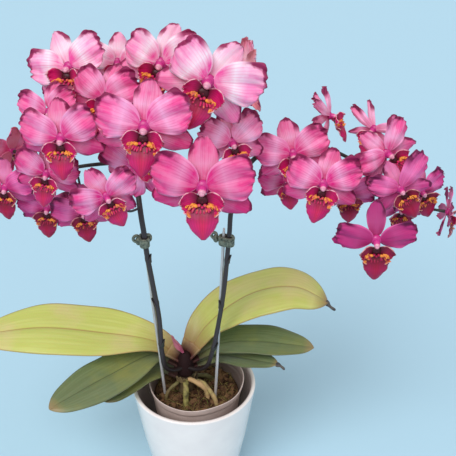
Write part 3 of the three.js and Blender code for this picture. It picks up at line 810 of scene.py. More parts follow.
@dataclass
class Pots:
    """The glazed cover pot and the thin clear grow pot that stands in it."""

    height: float = 125.0
    rim: float = 65.0
    foot: float = 44.0
    wall: float = 4.5
    floor: float = 6.0
    liner_height: float = 122.0
    liner_rim: float = 50.5
    liner_foot: float = 34.0
    liner_wall: float = 1.3
    liner_shift: float = 2.0
    # White stoneware glaze, fired smooth: a bright, even gloss, browned inside as painted shade.
    glaze: MadeFinish = MadeFinish("f8eeea", "f0e5e2", 30.0, 0.2, coat=0.35, inner_shade_and_stain=0.45)
    # Thin vacuum-formed plastic, browned on its inner side: part clear and softly glossy.
    plastic: MadeFinish = MadeFinish("f4ded6", "e2cac0", 55.0, 0.3, clear=0.25, inner_shade_and_stain=0.8)

    def cover_profile(self) -> np.ndarray:
        """Draws the cover pot's profile: tapered walls, a rounded rim and a rounded foot.

        Returns:
            Its points as radius and height.
        """
        half = self.foot + (self.rim - self.foot) * 0.55
        return rounded([
            (0, 0.8), (self.foot - 9, 0.8), (self.foot - 7, 0), (self.foot, 0),
            (half, self.height / 2), (self.rim, self.height),
            (self.rim - self.wall, self.height), (half - self.wall, self.height / 2),
            (self.foot - self.wall, self.floor), (0, self.floor),
        ], 2.2, 7)

    def liner_profile(self) -> np.ndarray:
        """Draws the grow pot's profile: a thin cup with a step below its turned-out rim.

        Returns:
            Its points as radius and height.
        """
        base, wall, waist = self.floor + 0.3, self.liner_wall, self.liner_rim - 3
        top = base + self.liner_height
        return rounded([
            (0, base), (self.liner_foot, base), (waist, top - 9), (waist + 1.6, top - 7),
            (self.liner_rim - 0.4, top - 1), (self.liner_rim, top),
            (self.liner_rim - wall, top), (waist + 1.6 - wall, top - 6.6),
            (waist - wall, top - 8.6), (self.liner_foot - wall, base + wall), (0, base + wall),
        ], 1.2, 4)

    def build(self) -> None:
        """Makes both pots; sines round the grow pot's rim push it out, in and up a little."""
        make_piece("cover_pot", [lathe(self.cover_profile(), 144)],
                   self.glaze.build("white glazed stoneware"), "pot_glaze", "pot")
        cup = lathe(self.liner_profile(), 120, (self.liner_shift, 0))
        x, y, z = cup.points.T
        angle, soft = np.arctan2(y, x - self.liner_shift), smoothstep(90, 128, z)
        dent = soft * (0.5 * np.sin(3 * angle + 1) + 0.3 * np.sin(7 * angle))
        cup.points += np.column_stack([
            dent * np.cos(angle), dent * np.sin(angle), soft * 0.5 * np.sin(4 * angle)])
        make_piece("grow_pot", [cup], self.plastic.build("tinted vacuum-formed plastic"),
                   "liner_plastic", "liner")


@dataclass
class GrowingMedium:
    """Bark chips, moss and fibres that fill the grow pot."""

    top: float = 111.0
    bump: float = 2.2
    radius: float = 44.4
    foot_radius: float = 32.3
    foot: float = 7.9
    shift: float = 2.0
    chips: int = 300
    strands: int = 240
    # Composted fir bark: rough, dark red-brown, with paler broken faces.
    bark: GrownFinish = GrownFinish("1c120d", "4e3424", "7c5c40", 260.0, roughness=0.9,
                                    relief=0.0015, specular=0.15)
    # Dry sphagnum and coconut fibre: straw to olive threads.
    moss: GrownFinish = GrownFinish("4e3e22", "9a8450", "5c6430", 300.0, roughness=0.85,
                                    specular=0.15)

    def lumps(self, x: np.ndarray, y: np.ndarray) -> np.ndarray:
        """Works out the height of the top: long waves, with shorter ones added.

        Args:
            x: places to the right of the middle.
            y: places behind it.

        Returns:
            The height at each place.
        """
        broad = np.sin(x * 0.23 + 1) * np.cos(y * 0.27) + 0.6 * np.sin(x * 0.11 - y * 0.4)
        small = np.sin(x * 0.9 + 2 * np.sin(y * 0.6)) * np.cos(y * 0.8)
        return self.top + self.bump * broad + 0.9 * small

    def spot(self, chance: np.random.Generator, margin: float) -> tuple[float, float]:
        """Draws a random place, evenly over the area by the root of an even number.

        Args:
            chance: the source of the numbers.
            margin: how far it stays from the wall.

        Returns:
            Its x and y from the middle.
        """
        reach = (self.radius - margin) * math.sqrt(chance.uniform(0, 1))
        way = chance.uniform(0, 2 * np.pi)
        return reach * math.cos(way), reach * math.sin(way)

    def bed(self) -> Shell:
        """Makes the filled body, with straight sides and a lumpy top in 24 rings.

        Returns:
            The closed shell.
        """
        inner = np.column_stack([self.radius * np.linspace(1, 0.02, 24), np.full(24, self.top)])
        profile = np.vstack([
            [(0, self.foot), (self.foot_radius, self.foot)], inner, [(0, self.top)]])
        bed = lathe(profile, 96, (self.shift, 0))
        x, y, z = bed.points.T
        raised = (z > self.top - 1) & (np.hypot(x - self.shift, y) < self.radius - 0.5)
        bed.points[raised, 2] = self.lumps(x[raised] - self.shift, y[raised])
        return bed

    def chip(self, seed: int) -> Shell:
        """Returns one bark chip: a six-sided lump, squashed, jittered, turned and laid down.

        Args:
            seed: the chip's number, which all its draws follow from.

        Returns:
            The chip, resting in the top of the medium.
        """
        chance = np.random.default_rng(seed)
        size = chance.uniform(0.55, 1.25)
        lump = ball((0, 0, 0), (4.2 * size, 2.6 * size, 1.5 * size), 6, 3)
        lump.points += chance.normal(0, 0.35, lump.points.shape)
        yaw, tip = chance.uniform(0, 2 * np.pi), chance.normal(0, 0.35)
        x, y = self.spot(chance, 5)
        place = np.array([x + self.shift, y, self.lumps(x, y) + 0.6])
        lump = lump.placed(spin("z", yaw) @ spin("x", tip), place)
        return lump.tinted(chance.uniform(0, 1), 0, 0, 1)

    def strand(self, seed: int) -> Shell:
        """Returns one moss or coir thread: a thin tube that curls and arches over the chips.

        Args:
            seed: the thread's number, which all its draws follow from.

        Returns:
            The thread.
        """
        chance = np.random.default_rng(5000 + seed)
        x, y = self.spot(chance, 6)
        heading, bend = chance.uniform(0, 2 * np.pi), chance.normal(0, 1.6)
        along = np.linspace(0, 1, 7)
        length, turn = chance.uniform(7, 17) / 7, heading + bend * along
        x = x + length * np.cumsum(np.cos(turn))
        y = y + length * np.cumsum(np.sin(turn))
        inside = np.minimum(1, (self.radius - 2) / (np.hypot(x, y) + 1e-6))
        x, y = x * inside, y * inside
        height = self.lumps(x, y) + 0.8 + chance.uniform(1.5, 4) * np.sin(np.pi * along)
        thread = tube(np.column_stack([x + self.shift, y, height]),
                      chance.uniform(0.16, 0.4) * (1 - 0.5 * along), 4)
        return thread.tinted(chance.uniform(0, 1), 0, 0, 1)

    def build(self) -> None:
        """Makes the bed, the chips and the threads."""
        bark, slot = self.bark.build("composted fir bark"), "bark_medium"
        make_piece("bark_bed", [self.bed()], bark, slot, "medium")
        chips = [self.chip(k) for k in range(self.chips)]
        make_piece("bark_chips", chips, bark, slot, "medium", smooth=False)
        threads = [self.strand(k) for k in range(self.strands)]
        moss = self.moss.build("dry sphagnum and coir")
        make_piece("moss_threads", threads, moss, slot, "medium")


# Leaves, crown and roots


# Where a leaf's sheath ends and its free blade starts, as a share of its line.
SHEATH_END = 0.09


@dataclass(frozen=True)
class Leaf:
    """A strap leaf: its centre line from the crown, half width, roll in degrees and fold.

    Droop bends the front half down, point narrows the tip, and heel widens the base.
    """

    name: str
    line: tuple
    width: float
    roll: tuple[float, float]
    fold: float
    droop: float = 0.0
    point: float = 0.0
    upper: bool = False
    heel: float = 0.22

    def grid(self, start: float, end: float, rows: int, columns: int,
             groove: float = 0.0) -> tuple[np.ndarray, np.ndarray]:
        """Works out the blade's middle surface.

        A point is on the centre line, moved across it by the half width times v, and up by a
        keel that grows with v and a slight wave. Across is the line's level normal turned by
        the roll. The half width is a power of a sine of the share along, with the heel added
        at the base, and it is rounded off at the tip. The front half droops with the square of
        v, and the base is bent into a channel, an arc of a circle. A narrow bell curve of v
        sinks the midrib.

        Args:
            start: where it starts, as a share of the centre line.
            end: where it ends.
            rows: points along.
            columns: points across.
            groove: the depth of the midrib.

        Returns:
            The grid of points and each one's distance from the rim, in tens of millimetres.
        """
        along, step = np.linspace(start, end, rows), 0.002
        path = curve(self.line, along)
        ahead = unit(curve(self.line, np.minimum(along + step, 1))
                     - curve(self.line, np.maximum(along - step, 0)))
        back = unit(np.cross(ahead, [0, 0, 1]))
        back *= np.where(back[:, 1:2] < 0, -1, 1)
        face = unit(np.cross(back, ahead))
        face *= np.where(face[:, 2:] < 0, -1, 1)
        share = smoothstep(-0.1, 0.62, along)[:, None]
        turn = np.radians(self.roll[0] + (self.roll[1] - self.roll[0]) * share)
        across = back * np.cos(turn) + face * np.sin(turn)
        up = face * np.cos(turn) - back * np.sin(turn)
        swell = np.sin(np.pi * np.minimum(1, 0.02 + 0.96 * along**1.36))**0.56
        tip = np.sqrt(np.clip(1 - along**36, 0.002, 1))
        slim = 0.56 + 0.44 * smoothstep(0.02, 0.42, along)
        taper = tip * slim * (1 - self.point * along**2)
        half = (self.width * (self.heel * (1 - along)**3 + swell) * taper)[:, None]
        a, v = along[:, None], np.linspace(-1, 1, columns)[None, :]
        arch = 0.05 + 1.25 * (1 - a)**5
        keel = self.fold * half * np.abs(v) + half * (1 - np.cos(arch * v)) / arch
        wave = 0.9 * np.sin(9 * a + 2 * v) * np.abs(v) * a
        ripple = 0.5 * np.sin(23 * a + 5 * v) * np.abs(v)**3 * a
        sunk = groove * np.exp(-(v * half / 1.9)**2) * (1 - a**6)
        hang = self.droop * half * np.maximum(0, -v)**2 * smoothstep(0.2, 0.6, a)
        lift = keel + wave + ripple - sunk - hang
        reach = half * np.sin(arch * v) / arch
        grid = path[:, None] + across[:, None] * reach[..., None] + up[:, None] * lift[..., None]
        length = np.linalg.norm(np.diff(path, axis=0), axis=1).sum() / (end - start)
        edge = np.minimum((1 - np.abs(v)) * half, (end - a) * length) / 10
        return grid, np.clip(edge, 0, 1)

    def blade(self) -> Shell:
        """Makes the free blade, 1.9 mm thick and thinner towards its rim.

        Returns:
            The closed shell.
        """
        path = curve(self.line, np.linspace(0, 1, 80))
        overlap = 1.2 / np.linalg.norm(np.diff(path, axis=0), axis=1).sum()
        grid, edge = self.grid(SHEATH_END - overlap, 0.9995, 110, 33, 0.9)
        return sheet(grid, 0.7 + 1.2 * smoothstep(0, 0.4, edge), edge)

    def sheath(self) -> Shell:
        """Returns the clasping base that stays on the crown when the leaf drops."""
        grid, edge = self.grid(0.01, SHEATH_END, 8, 13)
        return sheet(grid, 2.5, edge)


LEAVES = (
    Leaf("leaf_left_upper", ((-10, 3, 151), (-38, 10, 168), (-98, 5, 184), (-155, 0, 193),
                             (-218, -6, 188)), 34, (34, 4), 0.1, 0.26, upper=True),
    Leaf("leaf_left_middle", ((-12, 1, 145), (-36, 9, 154), (-84, -31, 157),
                              (-134, -74, 152)), 25, (30, 0), 0.12, 0.3),
    Leaf("leaf_left_lower", ((-12, 1, 139), (-34, 12, 140), (-62, -14, 145),
                             (-86, -50, 140)), 18.5, (50, 16), 0.12, heel=0.95),
    Leaf("leaf_right_upper", ((-8, 4, 154), (14, 15, 186), (60, 16, 224), (103, 9, 236),
                              (135, 0, 224)), 38, (36, -6), 0.1, 0.36, upper=True),
    Leaf("leaf_right_middle", ((-6, 3, 148), (24, 8, 166), (60, -2, 178), (122, -14, 179)),
         22, (34, 4), 0.12),
    Leaf("leaf_right_lower", ((-6, 2, 142), (24, 6, 153), (54, -14, 165), (85, -32, 172)),
         15, (34, 4), 0.12),
)


@dataclass
class Foliage:
    """The six leaves, the young leaf and the withered tips."""

    # Waxy leaf skin, yellow-green, lighter on the two upper leaves as painted light from above.
    sunny: LeafFinish = LeafFinish("bec364", "d6d786", "d2c088", "a5824c", "a88054", "906848",
                                   "9a7850", 0.4)
    # Older leaf skin: dull grey-green, yellowing in patches, darker on the lower leaves as painted
    # shade.
    shady: LeafFinish = LeafFinish("68744e", "848e6a", "8c8c4a", "525a3c", "5a5c3e", "40342a",
                                   "93805a", 0.46)
    # A leaf just out of the crown, still full of red sap.
    young: GrownFinish = GrownFinish("7e2c48", "b85a74", "c88488", 130.0, (1.0, 1.0, 0.3), 0.4)
    # Dead leaf tissue, dried to a dark curl.
    dry: GrownFinish = GrownFinish("2c2a30", "504c4e", "6e6458", 400.0, roughness=0.8)
    # (which leaf's tip, its line, its radius)
    withered: tuple = (
        ("right_upper", ((133, 1, 224.5), (136, 0, 221), (139.5, -1, 218), (142.5, -2, 216.5)),
         2.6),
        ("right_lower", ((83.5, -31.3, 172), (87, -33, 171.5), (90, -34, 169.5),
                         (91.5, -34.5, 168)), 2.3),
    )
    sprout: Leaf = Leaf("young", ((-10.5, -2.5, 164.2), (-15, -3.5, 173), (-21.5, -3, 186)), 3.6,
                        (90, 90), 0.6, point=0.75)

    def build(self) -> None:
        """Makes the leaves and their withered tips."""
        kinds = {True: (self.sunny.build("sun-bleached waxy leaf"), "leaf_yellow_green"),
                 False: (self.shady.build("shaded waxy leaf"), "leaf_dark_green")}
        for number, leaf in enumerate(LEAVES):
            blade = leaf.blade().tinted(draw(number + 60) * 9, 0, 0, 1)
            make_piece(leaf.name.replace("leaf", "blade"), [blade], *kinds[leaf.upper], leaf.name)
        dry, share = self.dry.build("withered leaf tip"), np.linspace(0, 1, 14)
        for name, line, radius in self.withered:
            curl = tube(curve(line, share),
                        radius * (1 - 0.6 * share) * (1 + 0.2 * np.sin(9 * share)), 10)
            make_piece(f"withered_tip_{name}", [curl], dry, "leaf_dark_green", f"leaf_{name}")
        grid, edge = self.sprout.grid(0, 0.999, 40, 15)
        make_piece("young_blade", [sheet(grid, 1.2, edge)], self.young.build("red young leaf"),
                   "young_leaf", "young_leaf")


@dataclass
class CrownAndRoots:
    """The short stem with its leaf sheaths, and the thick roots that spring below it."""

    x: float = -9.0
    bottom: float = 134.0
    top: float = 163.0
    radius: float = 9.5
    # Each root's line and radius, how tan it is, and how far it is darkened, which on the two
    # roots behind the crown is painted shade.
    roots: tuple = (
        (((-9, -3, 130), (-8, -14, 128), (-8, -21, 116), (-8, -22, 96)), 3.0, 0.0, 0.3),
        (((-7, -3, 131), (2, -9, 131), (12, -12, 124), (17, -14, 98)), 2.6, 1.0, 0.0),
        (((-5, -2, 127), (8, -6, 128), (22, -20, 118), (26, -25, 96)), 2.3, 0.9, 0.1),
        (((-12, -3, 129), (-19, -9, 128), (-27, -13, 121), (-31, -15, 96)), 1.8, 0.5, 0.65),
        (((-9, 3, 130), (-8, 14, 128), (-6, 24, 116), (-5, 27, 96)), 2.7, 0.3, 0.85),
        (((-6, 2, 128), (6, 8, 126), (18, 15, 116), (22, 17, 96)), 2.4, 0.5, 0.85),
    )
    # Leaf sheaths, dark red-brown where they clasp the stem, and darker still as painted shade in
    # the crown.
    sheath: GrownFinish = GrownFinish("200e10", "3e2020", "46302a", 160.0, (1.0, 1.0, 0.35),
                                      0.7, specular=0.15)
    # The two upper sheaths, tan like the leaves and red at the foot, that red deepened by painted
    # shade in the crown.
    tan: GrownFinish = GrownFinish("7c5438", "a0845a", "ac9060", 120.0, (1.0, 1.0, 0.5),
                                   base="4a1c1c", foot=0.95)
    # Velamen, the spongy white-green skin of an aerial root.
    velamen: GrownFinish = GrownFinish("3e3a20", "aaa05c", "c09a70", 240.0, roughness=0.7)
    # Papery remains of old sheaths.
    papery: GrownFinish = GrownFinish("2e2018", "5c4a34", "7a6644", 210.0, (1.0, 1.0, 0.3), 0.8)
    # The bare old stem below the leaves: corky and dark.
    husk: GrownFinish = GrownFinish("2a1c14", "54402c", "6c5a3c", 300.0, roughness=0.85)

    def flap(self, seed: int) -> Shell:
        """Returns one torn old sheath: part of a cylinder with a ragged, leaning top edge.

        Args:
            seed: the flap's number, which its place and size follow from.

        Returns:
            The flap.
        """
        chance = np.random.default_rng(900 + seed)
        u, v = lattice(16, 17)
        angle = seed * 2.1 + 0.55 * v
        torn = 1 - 0.3 * np.abs(np.sin(5 * v + seed)) - 0.25 * v * v
        height = 124 + 3 * seed + chance.uniform(9, 15) * u * torn
        reach = self.radius * 0.95 + 1.2 + 2.4 * u * u + 0.3 * np.sin(6 * v + 5 * u)
        grid = np.stack([self.x + reach * np.cos(angle), reach * np.sin(angle), height], -1)
        flap = sheet(grid, 0.6, np.minimum(1 - np.abs(v), 1 - u))
        return flap.tinted(chance.uniform(0, 1), 0, 0, 1)

    def build(self) -> None:
        """Makes the crown, the old sheaths and the roots."""
        # The heart's tint darkens it: painted shade deep in the crown.
        heart = lathe(rounded([
            (0, self.bottom), (self.radius * 0.8, self.bottom), (self.radius, self.bottom + 8),
            (self.radius * 0.85, self.top - 8), (self.radius * 0.4, self.top), (0, self.top),
        ], 4, 8), 40, (self.x, 0)).tinted(0.5, 0.85, 0, 1)
        lower = [leaf.sheath() for leaf in LEAVES if not leaf.upper]
        upper = [leaf.sheath().tinted(0.5, 0, 1, 1) for leaf in LEAVES if leaf.upper]
        neck = self.bottom - 0.3
        stem = lathe(rounded([(0, 88), (self.radius * 0.6, 88), (self.radius * 0.85, 118),
                              (self.radius * 0.78, neck), (0, neck)], 3, 6), 28, (self.x, 0))
        share, roots = np.linspace(0, 1, 44), []
        for number, (line, radius, tanned, shade_and_soil) in enumerate(self.roots):
            knots = 1 + 0.07 * np.sin(21 * share + number) + 0.05 * np.sin(47 * share)
            roots.append(tube(curve(line, share), radius * knots, 16).tinted(
                tanned, shade_and_soil, 0, 1))
        for name, shells, finish, material, slot, node in (
                ("crown_sheaths", [heart, *lower], self.sheath, "clasping leaf sheath",
                 "crown", "crown"),
                ("upper_sheaths", upper, self.tan, "tan leaf sheath", "crown", "crown"),
                ("old_sheaths", [self.flap(k) for k in range(4)], self.papery,
                 "papery old sheath", "crown", "crown"),
                ("old_stem", [stem], self.husk, "corky old stem", "root", "roots"),
                ("aerial_roots", roots, self.velamen, "root velamen", "root", "roots")):
            make_piece(name, shells, finish.build(material), slot, node)


# Blooms


@dataclass(frozen=True)
class TepalKind:
    """What sets petals and sepals apart.

    Its points along and across, the power and the fullness of its outline, and how much it is
    bowed at the end, bent back, waved, ruffled and ragged.
    """

    rows: int
    columns: int
    power: float
    fullness: float
    bow: float
    bend: float
    wave: float
    ruffle: float
    ragged: float


PETAL = TepalKind(30, 25, 0.8, 0.685, 0.06, 0.043, 0.042, 0.028, 1.0)
SEPAL = TepalKind(26, 17, 0.62, 0.78, 0.15, 0.035, 0.012, 0.012, 0.5)


@dataclass(frozen=True)
class Tepal:
    """One petal or sepal, its sizes as shares of the bloom's span and its angles in degrees."""

    angle: float
    long: float
    wide: float
    start: float
    front: float
    kind: TepalKind

    def shell(self, span: float, phase: float, tint: tuple[float, float, float]) -> Shell:
        """Works out the tepal in the bloom's own frame.

        Its half width is a power of a sine of u. It curls along u and bends back with the
        square of v, and sines that grow with u wave it. Higher powers of u and v round the
        outer corners, short sines make the end ragged and ruffle the rim, and a narrow bell
        curve of v sinks its middle line. A petal's upper half is the wider one.

        Args:
            span: the bloom's width across its petals.
            phase: the phase of its waves.
            tint: its chance number, how far it is washed out, and how deep it is.

        Returns:
            The closed shell.
        """
        kind, petal = self.kind, self.kind is PETAL
        u, v = lattice(kind.rows, kind.columns)
        lean, start = math.radians(self.angle), math.radians(self.start)
        first = (0.05 * math.cos(start), 0.05 * math.sin(start))
        swell = self.wide * np.sin(np.pi * np.minimum(1, kind.fullness * u**0.9))**kind.power
        width = (first[1] * (1 - u)**4 + swell) * (1.04 - 0.14 * u**10)
        high = v * np.sign(math.cos(lean)) if petal else 0.0
        across = v * width * (1 + np.maximum(high, 0) * (0.08 + 1.6 * (u - 0.62)**2))
        across = across * (1 + 0.045 * u * u * np.sin(9 * u + phase + 2 * v))
        notch = kind.ragged * u**5 * (
            0.02 * np.sin(6 * v + 3 * phase) + 0.012 * np.sin(13 * v + 5 * phase)
            + 0.008 * np.sin(23 * v + phase))
        run = u * (1 - kind.bow * v * v * u - 0.1 * v**6 * u**4 + 0.07 * high * u * u) + notch
        along = first[0] + (self.long - first[0]) * run
        rim = np.maximum(np.abs(v)**6 * u, u**7)
        ruffle = kind.ruffle * rim * np.sin(15 * v + 8 * u + 2 * phase)
        vale = 0.008 * np.exp(-(v / 0.12)**2) * np.sin(np.pi * u)
        sway = kind.wave * u * u * np.sin(5.2 * v + 3 * u + phase) - kind.bend * v * v * u
        if petal:
            curl = 0.1 * u - 0.12 * u * u
            z = self.front + curl + np.maximum(sway, -curl - 0.5 * self.front)
        else:
            z = np.minimum(self.front - 0.02 * u - 0.05 * u * u + sway, self.front)
        x = along * math.cos(lean) - across * math.sin(lean)
        y = along * math.sin(lean) + across * math.cos(lean)
        grid = np.stack([x, y, z + ruffle - vale], -1) * span
        edge = np.minimum((1 - np.abs(v)) * width, (1 - u) * self.long) * span / 8
        edge = np.clip(edge, 0, 1)
        shell = sheet(grid, 0.35 + 0.4 * smoothstep(0, 0.5, edge), edge)
        if math.cos(lean) < 0:
            shell.form[:, 1] = 1 - shell.form[:, 1]
        return shell.tinted(*tint, float(petal))


# The dorsal sepal's place in the list; the two lateral sepals come last.
DORSAL = 1
TEPALS = (
    Tepal(16, 0.5, 0.2, 22, 0.022, PETAL),
    Tepal(90, 0.46, 0.14, 26, -0.022, SEPAL),
    Tepal(164, 0.5, 0.2, 22, 0.022, PETAL),
    Tepal(207, 0.51, 0.14, 18, -0.022, SEPAL),
    Tepal(333, 0.51, 0.14, 18, -0.022, SEPAL),
)
# The callus: (place, radii, warmth) of each wart, as shares of the bloom's span.
WARTS = (
    ((-0.03, -0.15, 0.096), (0.02, 0.016, 0.024), 0.4),
    ((0.026, -0.152, 0.096), (0.018, 0.018, 0.026), 0.46),
    ((-0.064, -0.154, 0.104), (0.026, 0.02, 0.02), 0.66),
    ((0.068, -0.158, 0.104), (0.03, 0.02, 0.02), 0.66),
    ((0.0, -0.168, 0.1), (0.016, 0.014, 0.018), 0.2),
)


@dataclass(frozen=True)
class Bloom:
    """One bloom: its hub's place, span, the way it faces in degrees, and its shade.

    Angles are its own tepals' angles where they aren't the usual ones, and reach scales their
    lengths. Slim narrows them, depth darkens them and pallor washes them out. The methods but
    the last work in its own frame, x right, y up and z out of its face, in shares of its span.
    """

    name: str
    at: tuple[float, float, float]
    span: float
    yaw: float
    pitch: float
    roll: float
    tone: Tone
    own_lip: bool = False
    depth: float = 0.08
    angles: tuple = ()
    slim: float = 1.0
    pallor: float = 0.0
    reach: tuple = (1.0, 1.0, 1.0, 1.0, 1.0)

    def turn(self) -> np.ndarray:
        """Returns the matrix from the bloom's frame."""
        return (spin("z", math.radians(self.yaw)) @ spin("x", math.radians(90 - self.pitch))
                @ spin("z", math.radians(self.roll)))

    def point(self, *local: float) -> np.ndarray:
        """Returns a point of the bloom's frame in the plant's frame."""
        return self.turn() @ np.array(local) + np.array(self.at)

    def side_lobe(self, side: int, phase: float) -> Shell:
        """Returns a side lobe of the lip.

        It reaches out and forward with u, spreads with a power of a sine of u, and its outer
        rim is toothed and frilled by short waves.

        Args:
            side: -1 for the left and 1 for the right.
            phase: the phase of the frills.

        Returns:
            The closed shell.
        """
        u, v = lattice(18, 17)
        w = side * v
        spread = 0.132 * np.sin(np.pi * (0.1 + 0.7 * u))**0.8 * (1 - 0.2 * u**6)
        rim = np.maximum(np.abs(v)**5 * u, u**5)
        tooth = rim * (0.008 * np.sin(17 * v + phase) + 0.006 * np.sin(29 * v + 2 * phase))
        x = 0.028 + (0.168 + tooth) * u * (1 - 0.14 * v * v * u) + 0.03 * w * u
        y = -0.108 - 0.05 * u + 0.92 * spread * w
        z = 0.06 + 0.1 * u - 0.04 * u * u + 0.1 * spread * w + 0.05 * w * w * u
        z = z + 0.014 * rim * np.sin(12 * v + 9 * u + phase)
        edge = np.minimum((1 - np.abs(v)) * spread, (1 - u) * 0.2) * self.span / 5
        shell = sheet(np.stack([side * x, y, z], -1) * self.span, 0.7, np.clip(edge, 0, 1))
        if side < 0:
            shell.form[:, 1] = 1 - shell.form[:, 1]
        return shell.tinted(phase, 0.0, 0.25, 1)

    def middle_lobe(self, phase: float) -> Shell:
        """Returns the pointed middle lobe: it hangs down with u and arches forward.

        Args:
            phase: the phase of its rim's waves.

        Returns:
            The closed shell.
        """
        u, v = lattice(24, 17)
        spread = 0.155 * np.sin(np.pi * (0.24 + 0.7 * u**0.85)) * (1 - 0.25 * u**12)
        rim = np.abs(v)**5
        x = spread * v * (1 + 0.03 * rim * np.sin(26 * u + phase))
        y = -0.14 - 0.34 * u
        z = 0.07 + 0.09 * np.sin(np.pi * 0.8 * u) - 0.5 * v * v * spread * u
        z = z + 0.01 * rim * np.sin(19 * u + 3 * v + phase)
        z = z - 0.01 * np.exp(-(v / 0.15)**2) * np.sin(np.pi * u)
        grid = np.stack(np.broadcast_arrays(x, y, z), -1) * self.span
        edge = np.clip((1 - np.abs(v)) * spread * self.span / 5, 0, 1)
        return sheet(grid, 0.7, edge).tinted(phase, 1.0, 0.15, 1)

    def lump(self, place: tuple, radii: tuple, sides: int, rows: int) -> Shell:
        """Returns an ellipsoid whose place and radii are shares of the span."""
        return ball(np.array(place) * self.span, np.array(radii) * self.span, sides, rows)

    def callus(self) -> list[Shell]:
        """Makes the warty crest where the lobes meet, and the claw that holds the lip.

        Returns:
            The warts, the claw and the throat between the lobes, dark as painted shade.
        """
        warts = [self.lump(place, radii, 12, 7).tinted(0.5, 1, warmth, 1)
                 for place, radii, warmth in WARTS]
        ends = np.array([(0.0, -0.03, 0.01), (0.0, -0.13, 0.075)]) * self.span
        claw = tube(np.linspace(*ends, 7), 0.026 * self.span, 12)
        throat = self.lump((0, -0.11, 0.07), (0.06, 0.05, 0.026), 16, 9)
        # Its share along is 0, so it takes the painted shade colour in full.
        throat.form[:, 0] = 0
        return warts + [shell.tinted(0.5, 1, 0, 1) for shell in (claw, throat)]

    def fringe(self, phase: float) -> list[Shell]:
        """Returns the fleshy teeth along the lower rims of the side lobes and round the callus.

        Each is a short bent cone. They stand in a fan on an arc below the callus, closest at
        its two ends, where a sine moves them, and warmest in colour there.

        Args:
            phase: the phase of their lengths.

        Returns:
            The closed cones.
        """
        along, count, teeth = np.linspace(0, 1, 4), 20, []
        for k in range(count):
            share = k / (count - 1)
            way = math.pi * (1.0 + share - 0.13 * math.sin(2 * math.pi * share))
            length = 0.024 + 0.022 * draw(k + 10 * phase)
            reach = 0.055 + 0.062 * draw(k + 20 * phase)
            out = np.array([math.cos(way), 0.55 * math.sin(way), 0.0])
            foot = np.array([0.0, -0.14, 0.09]) + out * reach
            bend = np.array([0.0, -0.012, 0.03]) * (1 + draw(k + 30 * phase))
            path = (foot + out * length * along[:, None] + bend * along[:, None]**2) * self.span
            warmth = 0.2 + 0.2 * draw(k + 40 * phase) + 0.42 * abs(2 * share - 1)
            tooth = tube(path, 0.018 * self.span * (1 - 0.5 * along), 6)
            teeth.append(tooth.tinted(phase, 1, warmth, 1))
        return teeth

    def column(self) -> list[Shell]:
        """Makes the column, whose girth swells with a sine, with its cap and hub.

        Returns:
            The three shells.
        """
        share = np.linspace(0, 1, 12)
        path = np.column_stack([0 * share, -0.03 * share - 0.012 * share**2, 0.09 * share])
        girth = 0.033 + 0.007 * np.sin(np.pi * share * 0.9)
        stem = tube(path * self.span, girth * self.span, 16)
        cap = self.lump((0, -0.046, 0.094), (0.027, 0.022, 0.02), 16, 9)
        hub = self.lump((0, 0, 0), (0.07, 0.07, 0.045), 24, 11)
        hub.form[:, 0] = 0
        return [stem.tinted(0, 0, 0, 1), cap.tinted(0, 1, 0, 1), hub.tinted(0, 0, 0, 1)]

    def build(self, number: int, finishes: dict) -> None:
        """Makes the bloom's tepals, column and lip.

        Args:
            number: its place in the list, from 0, which its draws follow from.
            finishes: the materials by name or tone.
        """
        phase = 6 * draw(number + 1)
        tepals = []
        for k, tepal in enumerate(TEPALS):
            pallor = self.pallor + 0.08 * draw(number * 5 + k + 200)
            # The dorsal sepal, on top, is made paler as a painted highlight, most on the pale
            # blooms.
            if k == DORSAL:
                pallor += 0.42 if self.tone is PALE else 0.14
            depth = self.depth + (0.25 if k > DORSAL + 1 else 0.0)
            own = replace(tepal, angle=(self.angles or [t.angle for t in TEPALS])[k],
                          wide=tepal.wide * self.slim, long=tepal.long * self.reach[k])
            tint = (draw(number * 5 + k + 100), pallor, depth)
            tepals.append(own.shell(self.span, phase + k, tint))
        lobes = [self.side_lobe(-1, phase), self.middle_lobe(phase), self.side_lobe(1, phase + 2)]
        node, slot = f"bloom_{self.name}", f"petal_{self.tone.value}"
        lip = finishes["dark lip" if self.tone is PURPLE else "lip"]
        for kind, shells, finish, place, holder in (
                ("tepals", tepals, finishes[self.tone], slot, node),
                ("column", self.column(), finishes["column"], slot, node),
                ("lip_blade", lobes + self.callus() + self.fringe(phase), lip, "lip",
                 f"lip_{self.name}" if self.own_lip else node)):
            shells = [shell.placed(self.turn(), np.array(self.at)) for shell in shells]
            make_piece(f"{kind}_{self.name}", shells, finish, place, holder)


